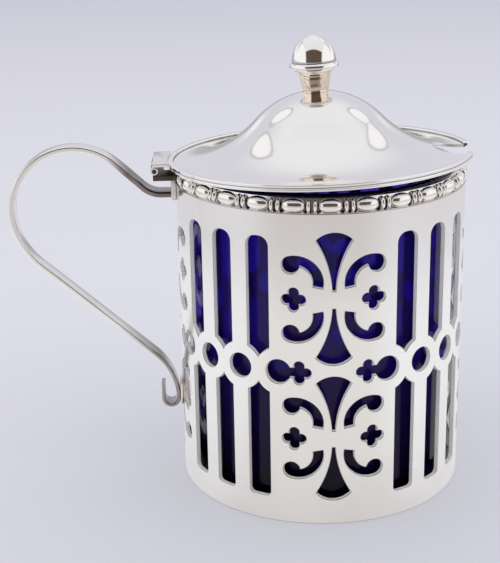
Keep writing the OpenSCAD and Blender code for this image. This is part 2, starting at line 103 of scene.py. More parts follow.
def span(tree, value, fromLow, fromHigh, toLow=0.0, toHigh=1.0):
    feeds = {"Value": value, "From Min": fromLow, "From Max": fromHigh, "To Min": toLow, "To Max": toHigh}
    return put(tree, "ShaderNodeMapRange", feeds).outputs["Result"]


def noise(tree, spot, scale, detail, **more):
    feeds = {"Vector": spot, "Scale": scale, "Detail": detail, **more}
    return put(tree, "ShaderNodeTexNoise", feeds).outputs["Fac"]


def relief(tree, height, strength, depth, **more):
    feeds = {"Height": height, "Strength": strength, "Distance": depth, **more}
    return put(tree, "ShaderNodeBump", feeds).outputs["Normal"]


def markOn(tree, name):
    return put(tree, "ShaderNodeAttribute", attribute_name=name).outputs["Fac"]


def storeMark(mesh, name, values):
    mark = mesh.attributes.new(name, "FLOAT", "POINT")
    mark.data.foreach_set("value", np.asarray(values, np.float32))


def blendColour(tree, share, first, second):
    return put(tree, "ShaderNodeMixRGB", {"Fac": share, "Color1": first, "Color2": second}).outputs["Color"]


def paint(rgb):
    return (rgb[0], rgb[1], rgb[2], 1.0)


def startMaterial(name):
    material = bpy.data.materials.new(name)
    material.use_nodes = True
    tree = material.node_tree
    tree.nodes.clear()
    shader = put(tree, "ShaderNodeBsdfPrincipled")
    end = put(tree, "ShaderNodeOutputMaterial")
    tree.links.new(shader.outputs["BSDF"], end.inputs["Surface"])
    return material, tree, shader


middling = (0.3, 0.7)  # most of a noise lies between these


# polished silver: cloudy tarnish, uneven gloss and fine polishing lines, and marks that paint shade in
# hollows and along cut edges
def silverFinish(name, s):
    material, tree, shader = startMaterial(name)
    shader.inputs["Metallic"].default_value = 1.0
    spot = put(tree, "ShaderNodeTexCoord").outputs["Object"]
    clouds = noise(tree, spot, s["cloudScale"], detail=5.0, Roughness=0.6)
    share = span(tree, clouds, *s["cloudRange"], 0.0, s["tarnishShare"])
    colour = blendColour(tree, share, paint(s["metal"]), paint(s["tarnish"]))
    gloss = noise(tree, spot, s["glossScale"], detail=3.0)
    rough = span(tree, gloss, *middling, s["roughLow"], s["roughHigh"])
    if "mark" in s:  # a value stored on the mesh, 1 where shade is painted in hollows and creases (with tarnish on the moulding), on sawn faces, and where the strap is darkened
        mark = markOn(tree, s["mark"])
        speck = span(tree, clouds, *middling, s["markLow"], s["markHigh"])
        colour = blendColour(tree, times(tree, mark, speck), colour, paint(s["markColour"]))
        rough = calc(tree, "ADD", rough, times(tree, mark, s["markRough"]))
        if "markDull" in s:  # filed faces scatter the light
            tree.links.new(span(tree, mark, 0.0, 1.0, 1.0, 1.0 - s["markDull"]), shader.inputs["Metallic"])
    if "keen" in s:  # a fine dark line of painted shade along the rounded edges of cuts; along the foot it paints the contact shadow
        line = times(tree, markOn(tree, "keen"), s["keenShare"])
        colour = blendColour(tree, line, colour, paint(s["keen"]))
    tree.links.new(colour, shader.inputs["Base Color"])
    tree.links.new(rough, shader.inputs["Roughness"])
    stretch = put(tree, "ShaderNodeMapping", {"Vector": spot, "Scale": s["lineStretch"]}).outputs[0]
    lines = noise(tree, stretch, s["lineScale"], detail=2.0)
    fine = relief(tree, lines, s["lineStrength"], s["lineDepth"])
    dents = noise(tree, spot, s["dentScale"], detail=1.0)
    wide = relief(tree, dents, s["dentStrength"], s["dentDepth"], Normal=fine)
    tree.links.new(wide, shader.inputs["Normal"])
    return material


silverBase = {
    "metal": (0.93, 0.92, 0.905), "tarnish": (0.80, 0.76, 0.70), "tarnishShare": 0.3,
    "cloudScale": 70.0, "cloudRange": (0.38, 0.78), "glossScale": 160.0, "roughLow": 0.07, "roughHigh": 0.12,
    "lineStretch": (1.0, 1.0, 0.06), "lineScale": 5200.0, "lineStrength": 0.05, "lineDepth": 2e-5,
    "dentScale": 90.0, "dentStrength": 0.06, "dentDepth": 2e-4,
}

silvers = {
    "drumSilver": {
        "roughLow": 0.15, "roughHigh": 0.22, "lineStrength": 0.03, "dentStrength": 0.05,
        # keen: a fine line of painted shade along the rounded cut edges, and a painted contact shadow at the
        # foot
        "keen": (0.16, 0.15, 0.145), "keenShare": 0.8, "mark": "sawn", "markLow": 0.8, "markHigh": 1.0,
        "markColour": (0.97, 0.965, 0.95), "markRough": 0.5, "markDull": 0.65},
    "lidSilver": {
        "roughLow": 0.06, "roughHigh": 0.10, "tarnishShare": 0.15, "lineStretch": (1.0, 0.08, 1.0),
        "mark": "sawn", "markLow": 0.5, "markHigh": 1.0, "markColour": (0.97, 0.96, 0.94), "markRough": 0.35},
    "wireSilver": {
        # hollow: painted shade in the groove and the crease
        "metal": (0.98, 0.97, 0.955), "tarnishShare": 0.1, "mark": "hollow", "markLow": 0.6, "markHigh": 1.0,
        "markColour": (0.10, 0.085, 0.075), "markRough": 0.25},
    "mouldingSilver": {
        # hollow: tarnish with painted shade between the beads and reels
        "tarnish": (0.70, 0.58, 0.44), "cloudScale": 320.0, "mark": "hollow", "markLow": 0.8, "markHigh": 1.0,
        "markColour": (0.22, 0.155, 0.11), "markRough": 0.3},
    "finialSilver": {
        # hollow: painted shade in the crease under the acorn
        "roughLow": 0.02, "roughHigh": 0.05, "mark": "hollow", "markLow": 0.6, "markHigh": 1.0,
        "markColour": (0.22, 0.18, 0.15), "markRough": 0.25},
    "stemSilver": {
        "metal": (0.92, 0.85, 0.74), "tarnish": (0.60, 0.37, 0.19), "tarnishShare": 0.7,
        "cloudScale": 300.0, "roughLow": 0.06, "roughHigh": 0.14},
    "handleSilver": {
        "roughLow": 0.09, "roughHigh": 0.16, "tarnishShare": 0.4, "mark": "worn", "markLow": 0.75,
        "markHigh": 1.0, "markColour": (0.13, 0.095, 0.085), "markRough": 0.08},
    "leafSilver": {
        "tarnish": (0.66, 0.62, 0.58), "tarnishShare": 0.5, "cloudScale": 240.0,
        "roughLow": 0.14, "roughHigh": 0.24},
    "hingeSilver": {
        "metal": (0.12, 0.10, 0.09), "tarnish": (0.03, 0.025, 0.02), "tarnishShare": 0.9,
        "cloudScale": 300.0, "roughLow": 0.25, "roughHigh": 0.4},
    "rootSilver": {
        "metal": (0.84, 0.81, 0.78), "tarnish": (0.46, 0.38, 0.33), "tarnishShare": 0.7,
        "cloudScale": 300.0, "roughLow": 0.16, "roughHigh": 0.28},
    "padSilver": {
        "metal": (0.88, 0.84, 0.80), "tarnish": (0.70, 0.54, 0.46), "tarnishShare": 0.7,
        "cloudScale": 240.0, "roughLow": 0.16, "roughHigh": 0.28},
    "baseSilver": {
        "metal": (0.84, 0.825, 0.81), "tarnish": (0.55, 0.50, 0.44), "tarnishShare": 0.7,
        "roughLow": 0.26, "roughHigh": 0.4},
}
finishes = {name: silverFinish(name, {**silverBase, **own}) for name, own in silvers.items()}


# cobalt glass: darker lower down, partly for its thick foot and partly as painted shade, with a painted shade
# along its lip, a faint drift of tint and slow waves
cobalt = {
    # deep is the colour low down, partly for the thick foot and partly painted shade; lip is painted shade
    # along the rim
    "pale": (0.085, 0.04, 0.48), "deep": (0.008, 0.006, 0.035), "deepAt": 6.0, "paleAt": 36.0,
    "lip": (0.002, 0.0015, 0.012), "lipFrom": 59.5, "lipFull": 61.5,
    "tintScale": 40.0, "drift": 0.12, "waveScale": 30.0, "waveStrength": 0.06, "waveDepth": 4e-4,
    "filmScale": 200.0, "filmRange": (0.4, 0.7), "roughLow": 0.05, "roughHigh": 0.1,
    "ior": 1.28, "clear": 0.85, "specular": 0.2,
}


def glassFinish(name, s):
    material, tree, shader = startMaterial(name)
    shader.inputs["Transmission Weight"].default_value = s["clear"]
    shader.inputs["IOR"].default_value = s["ior"]
    shader.inputs["Specular IOR Level"].default_value = s["specular"]
    spot = put(tree, "ShaderNodeTexCoord").outputs["Object"]
    high = put(tree, "ShaderNodeSeparateXYZ", {0: spot}).outputs["Z"]
    tint = noise(tree, spot, s["tintScale"], detail=2.0)
    drift = span(tree, tint, *middling, -s["drift"], s["drift"])
    # darker lower down: partly the thick foot, partly painted shade
    share = calc(tree, "ADD", span(tree, high, s["deepAt"] * mm, s["paleAt"] * mm), drift)
    colour = blendColour(tree, span(tree, share, 0.0, 1.0), paint(s["deep"]), paint(s["pale"]))
    # painted shade along the lip
    lip = span(tree, high, s["lipFrom"] * mm, s["lipFull"] * mm)
    tree.links.new(blendColour(tree, lip, colour, paint(s["lip"])), shader.inputs["Base Color"])
    film = noise(tree, spot, s["filmScale"], detail=3.0)
    rough = span(tree, film, *s["filmRange"], s["roughLow"], s["roughHigh"])
    tree.links.new(rough, shader.inputs["Roughness"])
    waves = noise(tree, spot, s["waveScale"], detail=1.0)
    waved = relief(tree, waves, s["waveStrength"], s["waveDepth"])
    tree.links.new(waved, shader.inputs["Normal"])
    return material


finishes["cobaltGlass"] = glassFinish("cobaltGlass", cobalt)
print("finishes made:", len(finishes))


# outlines in a plane
def arcPoints(hub, r, start, stop, step):
    count = max(2, math.ceil(abs(math.radians(stop - start)) * r / step))
    a = np.radians(np.linspace(start, stop, count + 1))
    return np.column_stack([hub[0] + r * np.cos(a), hub[1] + r * np.sin(a)])


def joinPath(*parts):
    points = np.vstack([np.asarray(p, float).reshape(-1, 2) for p in parts])
    kept = [points[0]]
    for p in points[1:]:
        if np.hypot(*(p - kept[-1])) > 1e-6:
            kept.append(p)
    if np.hypot(*(kept[0] - kept[-1])) < 1e-6:
        kept.pop()
    return np.array(kept)


def splitLong(points, step, closed=True):
    out = []
    count = len(points)
    for i in range(count if closed else count - 1):
        a, b = points[i], points[(i + 1) % count]
        parts = max(1, math.ceil(np.hypot(*(b - a)) / step - 1e-9))
        out += [a + (b - a) * k / parts for k in range(parts)]
    if not closed:
        out.append(points[-1])
    return np.array(out)


def clockwise(points):
    x, y = points.T
    area = np.dot(x, np.roll(y, -1)) - np.dot(np.roll(x, -1), y)
    return points if area < 0 else points[::-1]


def insideLoop(points, loop):
    x, y = points[:, 0:1], points[:, 1:2]
    x0, y0 = loop.T
    x1, y1 = np.roll(loop, -1, 0).T
    rise = np.where(np.abs(y1 - y0) < 1e-12, 1e-12, y1 - y0)
    crosses = ((y0 > y) != (y1 > y)) & (x < (x1 - x0) * (y - y0) / rise + x0)
    return crosses.sum(1) % 2 == 1


def fillPoints(outline, holes, step, clear):
    low, high = outline.min(0), outline.max(0)
    rows = []
    for k, y in enumerate(np.arange(low[1] + step / 2, high[1], step * 0.87)):
        x = np.arange(low[0] + step * (0.25 + 0.5 * (k % 2)), high[0], step)
        rows.append(np.column_stack([x, np.full(len(x), y)]))
    points = np.vstack(rows)
    keep = insideLoop(points, outline)
    for hole in holes:
        keep &= ~insideLoop(points, hole)
    points = points[keep]
    edges = np.vstack([outline] + holes)
    near = np.array([np.min(np.hypot(*(edges - p).T)) for p in points])
    return points[near > clear]


def unit(v):
    return v / np.maximum(np.linalg.norm(v, axis=-1, keepdims=True), 1e-12)


keenTurn = 28.0  # an outline that turns more than this has a corner there
longestShift = 2.5  # how far a sharp corner may shift, against a straight edge


# for each point of a cut edge: the way into the metal before it and after it, and where to shift it
def edgeSides(points, closed):
    ahead = np.roll(points, -1, 0) - points
    if not closed:
        ahead[-1] = ahead[-2]
    ahead = unit(ahead)
    behind = np.roll(ahead, 1, 0)
    if not closed:
        behind[0] = ahead[0]
    before = np.column_stack([-behind[:, 1], behind[:, 0]])
    after = np.column_stack([-ahead[:, 1], ahead[:, 0]])
    middle = unit(before + after)
    shift = middle / np.maximum((middle * after).sum(1), 1 / longestShift)[:, None]
    soft = (before * after).sum(1) > math.cos(math.radians(keenTurn))
    before[soft] = middle[soft]
    after[soft] = middle[soft]
    return before, after, shift


# rows of points down a cut: the surface's tilt, whether its depth counts from the back, and its two marks,
# sawn for the cut face and keen for a line of painted shade on the rounded edge
cutRows = (
    {"tilt": 45, "fromBack": False, "sawn": 0.0, "keen": 1.0},
    {"tilt": 90, "fromBack": False, "sawn": 1.0, "keen": 0.0},
    {"tilt": 90, "fromBack": True, "sawn": 1.0, "keen": 0.0},
    {"tilt": 135, "fromBack": True, "sawn": 0.0, "keen": 0.0},
)


# A sheet of metal with pierced holes and softly rounded edges. Every outline has the metal on its left.
# place(points, depth) and facing(points) put the flat sheet in space.
def pierceSheet(name, border, holes, fill, place, facing, thick, soft):
    flat, cuts, outline, loops = [], [], [], []

    def addRow(points):
        start = sum(len(f) for f in flat)
        flat.append(points)
        return np.arange(start, start + len(points))

    def addCut(points, closed):
        before, after, shift = edgeSides(points, closed)
        rows = addRow(points + shift * soft)
        cuts.append((rows, points, before, after, shift, closed))
        return rows

    for points, kind in border:
        outline.append(addRow(points) if kind == "seam" else addCut(points, kind == "closed"))
    for points in holes:
        loops.append(addCut(points, True))
    addRow(fill)
    flat = np.vstack(flat)
    faces = [np.concatenate(outline).tolist()] + [rows[::-1].tolist() for rows in loops]
    found = delaunay_2d_cdt([Vector(p) for p in flat], [], faces, 1, 1e-7, True)
    source = [ids[0] for ids in found[3]]
    skin = np.array([[source[v] for v in face] for face in found[2]])
    middle = flat[skin].mean(1)
    metal = insideLoop(middle, flat[np.concatenate(outline)])
    for rows in loops:
        metal &= ~insideLoop(middle, flat[rows])
    skin = skin[metal]
    a, b, c = flat[skin[:, 0]], flat[skin[:, 1]], flat[skin[:, 2]]
    back = (b[:, 0] - a[:, 0]) * (c[:, 1] - a[:, 1]) - (b[:, 1] - a[:, 1]) * (c[:, 0] - a[:, 0]) < 0
    skin[back] = skin[back][:, ::-1]

    count = len(flat)
    outward = facing(flat)
    spots = [place(flat, 0.0), place(flat, thick)]
    marks = {"sawn": [np.zeros(2 * count)], "keen": [np.zeros(2 * count)]}
    polygons = skin.tolist() + (skin[:, ::-1] + count).tolist()
    normals = [outward[skin].reshape(-1, 3), -outward[skin[:, ::-1]].reshape(-1, 3)]
    total = 2 * count
    tiny = 1e-3
    for rows, points, before, after, shift, closed in cuts:
        out = facing(points)
        here = place(points, 0.0)
        inBefore = unit(place(points + before * tiny, 0.0) - here)
        inAfter = unit(place(points + after * tiny, 0.0) - here)
        levels = [(rows, 0.0)]
        for row in cutRows:
            turn = math.radians(row["tilt"])
            depth = soft * (1 - abs(math.cos(turn)))
            moved = points + shift * soft * (1 - math.sin(turn))
            spots.append(place(moved, thick - depth if row["fromBack"] else depth))
            levels.append((np.arange(total, total + len(points)), turn))
            for mark in marks:
                marks[mark].append(np.full(len(points), row[mark]))
            total += len(points)
        levels.append((rows + count, math.pi))
        here = np.arange(len(points) if closed else len(points) - 1)
        ahead = (here + 1) % len(points)
        for (upper, upperTilt), (lower, lowerTilt) in zip(levels[:-1], levels[1:]):
            polygons += np.column_stack([lower[here], lower[ahead], upper[ahead], upper[here]]).tolist()

            def lean(k, side, tilt):
                return math.cos(tilt) * out[k] - math.sin(tilt) * side[k]
            corners = [lean(here, inAfter, lowerTilt), lean(ahead, inBefore, lowerTilt),
                       lean(ahead, inBefore, upperTilt), lean(here, inAfter, upperTilt)]
            normals.append(np.stack(corners, 1).reshape(-1, 3))
    spots = np.vstack(spots) * mm
    mesh = bpy.data.meshes.new(name)
    mesh.from_pydata(spots.tolist(), [], polygons)
    mesh.polygons.foreach_set("use_smooth", np.ones(len(polygons), bool))
    for mark, values in marks.items():
        storeMark(mesh, mark, np.concatenate(values))
    return addPiece(name, mesh), unit(np.vstack(normals))


def addPiece(name, mesh):
    piece = bpy.data.objects.new(name, mesh)
    bpy.context.scene.collection.objects.link(piece)
    return piece


# starts a tree of geometry nodes with named inputs
def startTree(name, inputs):
    tree = bpy.data.node_groups.new(name, "GeometryNodeTree")
    tree.interface.new_socket(name="Geometry", in_out="OUTPUT", socket_type="NodeSocketGeometry")
    tree.interface.new_socket(name="Geometry", in_out="INPUT", socket_type="NodeSocketGeometry")
    for label, kind in inputs:
        tree.interface.new_socket(name=label, in_out="INPUT", socket_type="NodeSocket" + kind)
    return tree, put(tree, "NodeGroupInput").outputs, put(tree, "NodeGroupOutput").inputs["Geometry"]


def dressTree(tree, shape, given, end):
    dressed = put(tree, "GeometryNodeSetMaterial", {"Geometry": shape, "Material": given["Finish"]})
    tree.links.new(dressed.outputs[0], end)


# runs a tree on a source object and keeps the result as a plain mesh
def bakeNodes(source, tree, values, name):
    modifier = source.modifiers.new("shape", "NODES")
    modifier.node_group = tree
    for item in tree.interface.items_tree:
        if item.item_type == "SOCKET" and item.in_out == "INPUT" and item.name in values:
            modifier[item.identifier] = values[item.name]
    graph = bpy.context.evaluated_depsgraph_get()
    shaped = source.evaluated_get(graph)
    mesh = bpy.data.meshes.new_from_object(shaped, preserve_all_data_layers=True, depsgraph=graph)
    source.modifiers.remove(modifier)
    bpy.data.objects.remove(source)
    mesh.name = name
    return addPiece(name, mesh)


def finishPiece(piece, body, slot, *stands):
    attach(piece, body)
    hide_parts(*stands)
    print("piece", piece.name, "with", len(piece.data.polygons), "faces")


# the pierced wall: one panel is cut and repeated round the drum
drum = {
    "radius": 28.5, "height": 61.7, "wall": 0.9, "panels": 4, "soft": 0.15,
    "borderLow": 5.1, "borderHigh": 3.5, "tierGap": 2.3, "rowDrop": 0.5,
    "holeD": 4.8, "ringW": 2.3,
    "slotStep": 16.0, "slotW": 4.4, "slotDrop": 1.1, "slotTopR": 1.9, "slotFootR": 0.9,
    "fanW": 6.7, "fanCrown": 1.45, "fanTipW": 0.6, "fanTipGap": 3.4, "fanHollow": 0.66,
    "foilAngle": 15.0, "rowFoilAngle": 13.1, "lobeD": 2.0, "lobeStep": 1.3,
    "scrollAngle": 14.3, "scrollRise": 3.2, "scrollD": 10.3, "scrollW": 1.9,
    "scrollStart": 11.0, "scrollEnd": 105.0, "bulbD": 3.3,
    "seamAngle": -37.0, "seamBow": 3.55, "seamStep": 0.6, "weld": 0.002,
    "arcStep": 0.3, "bandStep": 0.42, "fanStep": 0.6, "lineStep": 0.9, "fillStep": 1.05, "fillClear": 0.5775,
}


def bearing(v):
    return math.degrees(math.atan2(v[1], v[0]))


def fanOutline(s, tierH):
    tip = np.array([s["fanTipW"] / 2, s["fanTipGap"] / 2])
    corner = np.array([s["fanW"] / 2, tierH / 2 - s["fanCrown"]])
    half = np.linalg.norm(corner - tip) / 2
    along = (corner - tip) / (2 * half)
    sideR = (half ** 2 + s["fanHollow"] ** 2) / (2 * s["fanHollow"])
    hub = (tip + corner) / 2 + np.array([along[1], -along[0]]) * (sideR - s["fanHollow"])
    side = arcPoints(hub, sideR, bearing(tip - hub), bearing(corner - hub), s["fanStep"])
    crownR = (s["fanW"] ** 2 / 4 + s["fanCrown"] ** 2) / (2 * s["fanCrown"])
    crownHalf = math.degrees(math.asin(s["fanW"] / 2 / crownR))
    crown = arcPoints((0, tierH / 2 - crownR), crownR, 90 - crownHalf, 90 + crownHalf, s["fanStep"])
    return joinPath(side, crown, (side * [-1, 1])[::-1])


def foilHalf(s):
    r = s["lobeD"] / 2
    meet = s["lobeStep"] / 2 + math.sqrt(r * r / 2 - s["lobeStep"] ** 2 / 4)
    return bearing((meet - s["lobeStep"], meet))


def foilOutline(s):
    half = foilHalf(s)
    lobes = []
    for quarter in (0, 90, 180, 270):
        hub = s["lobeStep"] * np.array([math.cos(math.radians(quarter)), math.sin(math.radians(quarter))])
        lobes.append(arcPoints(hub, s["lobeD"] / 2, quarter - half, quarter + half, s["arcStep"]))
    return joinPath(*lobes)


# a round hole of the row run into the four-lobed hole beside it
def keyholeOutline(s, foilX, holeX):
    half = foilHalf(s)
    lobeR, holeR = s["lobeD"] / 2, s["holeD"] / 2
    lobeX = foilX + s["lobeStep"]
    far = holeX - lobeX
    onLobe = math.degrees(math.acos((far ** 2 + lobeR ** 2 - holeR ** 2) / (2 * far * lobeR)))
    onHole = math.degrees(math.acos((far ** 2 + holeR ** 2 - lobeR ** 2) / (2 * far * holeR)))
    parts = [arcPoints((lobeX, 0), lobeR, -half, -onLobe, s["arcStep"]),
             arcPoints((holeX, 0), holeR, onHole - 180, 180 - onHole, s["arcStep"]),
             arcPoints((lobeX, 0), lobeR, onLobe, half, s["arcStep"])]
    for quarter in (90, 180, 270):
        hub = np.array([foilX, 0]) + s["lobeStep"] * np.array(
            [math.cos(math.radians(quarter)), math.sin(math.radians(quarter))])
        parts.append(arcPoints(hub, lobeR, quarter - half, quarter + half, s["arcStep"]))
    return joinPath(*parts)


def scrollOutline(s):
    outer = s["scrollD"] / 2
    inner = outer - s["scrollW"]
    bulbR = s["bulbD"] / 2
    hubR = outer - bulbR
    end = math.radians(s["scrollEnd"])
    hub = hubR * np.array([math.cos(end), math.sin(end)])
    back = math.acos((hubR ** 2 + inner ** 2 - bulbR ** 2) / (2 * hubR * inner))
    join = s["scrollEnd"] - math.degrees(back)
    meet = inner * np.array([math.cos(math.radians(join)), math.sin(math.radians(join))])
    bulbTo = bearing(meet - hub)
    bulbTo += 360 if bulbTo <= s["scrollEnd"] else 0
    return joinPath(arcPoints((0, 0), outer, -s["scrollStart"], s["scrollEnd"], s["bandStep"]),
                    arcPoints(hub, bulbR, s["scrollEnd"], bulbTo, s["arcStep"]),
                    arcPoints((0, 0), inner, join, -s["scrollStart"], s["bandStep"]))


def slotOutline(s, high, rowZ):
    ringR = s["holeD"] / 2 + s["ringW"]
    ringX = math.radians(s["slotStep"] / 2) * s["radius"]
    cusp = math.degrees(math.atan2(math.sqrt(ringR ** 2 - ringX ** 2), ringX))
    corner = math.degrees(math.acos((ringX - s["slotW"] / 2) / ringR))
    left = arcPoints((-ringX, 0), ringR, corner, cusp, s["arcStep"])
    ends = np.vstack([left, (left * [-1, 1])[::-1]])
    if high:
        r, edge = s["slotTopR"], s["height"] - s["borderHigh"] - s["slotDrop"] - rowZ
    else:
        r, edge = s["slotFootR"], rowZ - s["borderLow"]
    x = s["slotW"] / 2 - r
    outline = joinPath(ends, arcPoints((x, edge - r), r, 0, 90, s["arcStep"]),
                       arcPoints((-x, edge - r), r, 90, 180, s["arcStep"]))
    return outline * [1, 1 if high else -1] + [0, rowZ]


def panelHoles(s):
    tierH = (s["height"] - s["borderLow"] - s["borderHigh"] - s["tierGap"]) / 2
    lowZ = s["borderLow"] + tierH / 2
    highZ = lowZ + tierH + s["tierGap"]
    rowZ = s["borderLow"] + tierH + s["tierGap"] / 2 - s["rowDrop"]
    arc = math.radians(1) * s["radius"]
    holes = []

    def cut(outline, angle):
        bent = np.arcsin(outline[:, 0] / s["radius"]) * s["radius"]
        holes.append(np.column_stack([bent + angle * arc, outline[:, 1]]))
    for z in (lowZ, highZ):
        for flip in (1, -1):
            cut(fanOutline(s, tierH) * [1, flip] + [0, z], 0)
        for side in (1, -1):
            cut(foilOutline(s) + [0, z], side * s["foilAngle"])
            for flip in (1, -1):
                off = [(s["scrollAngle"] - s["foilAngle"]) * arc, s["scrollRise"]]
                scroll = scrollOutline(s) * [-1, 1] + off
                cut(scroll * [side, flip] + [0, z], side * s["foilAngle"])
    near = 45 - 1.5 * s["slotStep"]
    for side in (1, -1):
        key = keyholeOutline(s, (s["rowFoilAngle"] - near) * arc, 0.0)
        cut(key * [side, 1] + [0, rowZ], side * near)
        cut(arcPoints((0, rowZ), s["holeD"] / 2, 0, 360, s["arcStep"])[:-1], side * (near + s["slotStep"]))
    for angle in (-45 + s["slotStep"], 45 - s["slotStep"], 45):
        for high in (True, False):
            cut(slotOutline(s, high, rowZ), angle)
    return [clockwise(splitLong(hole, s["lineStep"])) for hole in holes], rowZ


def makeDrum(s):
    holes, rowZ = panelHoles(s)
    arc = math.radians(1) * s["radius"]
    left = s["seamAngle"] * arc
    wide = 360 / s["panels"] * arc
    bow = s["seamBow"]
    # the seam goes straight up and bows round the hole that it would cross
    seam = np.vstack([[[left, s["soft"]], [left, rowZ - bow]],
                      arcPoints((left, rowZ), bow, 270, 90, s["seamStep"]),
                      [[left, rowZ + bow], [left, s["height"] - s["soft"]]]])
    seam = splitLong(joinPath(seam), s["lineStep"], closed=False)
    foot = splitLong(np.array([[left, 0.0], [left + wide, 0.0]]), s["lineStep"], closed=False)
    top = foot[::-1] + [0, s["height"]]
    border = [(foot, "open"), (seam[1:-1] + [wide, 0], "seam"), (top, "open"), (seam[1:-1][::-1], "seam")]
    outline = np.vstack([points for points, kind in border])
    fill = fillPoints(outline, holes, s["fillStep"], s["fillClear"])

    def place(points, depth):
        turn = points[:, 0] / s["radius"]
        r = s["radius"] - depth
        return np.column_stack([r * np.sin(turn), -r * np.cos(turn), points[:, 1]])

    def facing(points):
        turn = points[:, 0] / s["radius"]
        return np.column_stack([np.sin(turn), -np.cos(turn), np.zeros(len(points))])

    panel, normals = pierceSheet("drumPanel", border, holes, fill, place, facing, s["wall"], s["soft"])
    mesh = panel.data

    def around(data):
        spots = np.zeros(len(data.vertices) * 3)
        data.vertices.foreach_get("co", spots)
        corners = np.zeros(len(data.loops), int)
        data.loops.foreach_get("vertex_index", corners)
        at = spots.reshape(-1, 3)[corners]
        out = unit(at * [1, 1, 0])
        return out, np.column_stack([-out[:, 1], out[:, 0], np.zeros(len(out))])
    # edge normals travel with the panel as shares of outward, sideways and up
    out, aside = around(mesh)
    carried = np.column_stack([(normals * out).sum(1), (normals * aside).sum(1), normals[:, 2]])
    store = mesh.attributes.new("lean", "FLOAT_VECTOR", "CORNER")
    store.data.foreach_set("vector", carried.astype(np.float32).ravel())

    tree, given, end = startTree("panelsRoundDrum", [
        ("Panels", "Int"), ("Weld", "Float"), ("Finish", "Material")])
    line = put(tree, "GeometryNodeMeshLine", {"Count": given["Panels"], "Offset": (0, 0, 0)})
    step = calc(tree, "DIVIDE", math.tau, given["Panels"])
    turn = times(tree, put(tree, "GeometryNodeInputIndex").outputs[0], step)
    spin = put(tree, "ShaderNodeCombineXYZ", {"Z": turn})
    copies = put(tree, "GeometryNodeInstanceOnPoints", {
        "Points": line.outputs[0], "Instance": given["Geometry"], "Rotation": spin.outputs[0]})
    whole = put(tree, "GeometryNodeRealizeInstances", {"Geometry": copies.outputs[0]}).outputs[0]
    welded = put(tree, "GeometryNodeMergeByDistance", {"Geometry": whole, "Distance": given["Weld"]})
    dressTree(tree, welded.outputs[0], given, end)
    piece = bakeNodes(panel, tree, {
        "Panels": s["panels"], "Weld": s["weld"] * mm, "Finish": finishes["drumSilver"]}, "drumWall")

    mesh = piece.data
    carried = np.zeros(len(mesh.loops) * 3)
    mesh.attributes["lean"].data.foreach_get("vector", carried)
    carried = carried.reshape(-1, 3)
    out, aside = around(mesh)
    normals = out * carried[:, 0:1] + aside * carried[:, 1:2] + np.array([0, 0, 1]) * carried[:, 2:3]
    mesh.attributes.remove(mesh.attributes["lean"])
    mesh.normals_split_custom_set(normals.tolist())
    finishPiece(piece, "pot", "silver", "drum_wall")


makeDrum(drum)


# turned pieces: an outline of radius and height, from the axis round the outside
def lathe(name, outline, around, lift=None, sharp=40.0, marks=None):
    outline = np.asarray(outline, float)
    turn = np.linspace(0, math.tau, around, endpoint=False)
    spots, rings, values = [], [], []
    for k, (r, z) in enumerate(outline):
        start = len(spots)
        if r < 1e-6:
            spots.append((0.0, 0.0, z))
            rings.append([start] * around)
        else:
            spots += [(r * math.cos(a), r * math.sin(a), z) for a in turn]
            rings.append(list(range(start, start + around)))
        values += [0.0 if marks is None else marks[k]] * (len(spots) - start)
    faces = []
    for low, high in zip(rings[:-1], rings[1:]):
        for k in range(around):
            j = (k + 1) % around
            ring = [low[k], low[j], high[j], high[k]]
            face = [v for i, v in enumerate(ring) if v not in ring[:i]]
            if len(face) > 2:
                faces.append(face)
    mesh = bpy.data.meshes.new(name)
    mesh.from_pydata((np.array(spots) * mm).tolist(), [], faces)
    if marks is not None:
        storeMark(mesh, "hollow", values)
    if lift is not None:
        mesh.transform(lift)
    mesh.shade_smooth()
    mesh.set_sharp_from_angle(angle=math.radians(sharp))
    return addPiece(name, mesh)


straight = math.radians(176)  # a corner wider than this stays as it is
cornerRoom = 0.98  # share of half an edge that a rounded corner may take up


# rounds each inner corner of an open outline by its own radius
def softCorners(points, radii, step=0.12):
    points = np.asarray(points, float)
    out = [points[0]]
    for k in range(1, len(points) - 1):
        r = radii[k] if hasattr(radii, "__len__") else radii
        a, p, b = points[k - 1], points[k], points[k + 1]
        u, v = unit(a - p), unit(b - p)
        angle = math.acos(max(-1.0, min(1.0, float(u @ v))))
        if r <= 0 or angle > straight:
            out.append(p)
            continue
        room = min(np.linalg.norm(a - p), np.linalg.norm(b - p)) / 2
        back = min(r / math.tan(angle / 2), room * cornerRoom)
        r = back * math.tan(angle / 2)
        hub = p + unit(u + v) * (r / math.sin(angle / 2))
        start, stop = bearing(p + u * back - hub), bearing(p + v * back - hub)
        stop += 360 if stop - start < -180 else (-360 if stop - start > 180 else 0)
        out += list(arcPoints(hub, r, start, stop, step))
    out.append(points[-1])
    return np.array(out)


# a smooth line through points
def throughPoints(points, parts):
    points = np.asarray(points, float)
    padded = np.vstack([2 * points[0] - points[1], points, 2 * points[-1] - points[-2]])
    out = []
    for k in range(1, len(padded) - 2):
        p0, p1, p2, p3 = padded[k - 1:k + 3]
        for i in range(parts):
            t = i / parts
            out.append(0.5 * (2 * p1 + (p2 - p0) * t + (2 * p0 - 5 * p1 + 4 * p2 - p3) * t * t
                              + (3 * p1 - p0 - 3 * p2 + p3) * t ** 3))
    out.append(points[-1])
    return np.array(out)


def setFinish(piece, finish):
    piece.data.materials.clear()
    piece.data.materials.append(finishes[finish])


# the loose glass
liner = {
    "radius": 26.2, "wall": 2.0, "floor": 3.0, "foot": 1.0, "top": 64.6, "footR": 2.0,
    "around": 192, "step": 0.25, "rows": 12, "endRow": 4.0,
}


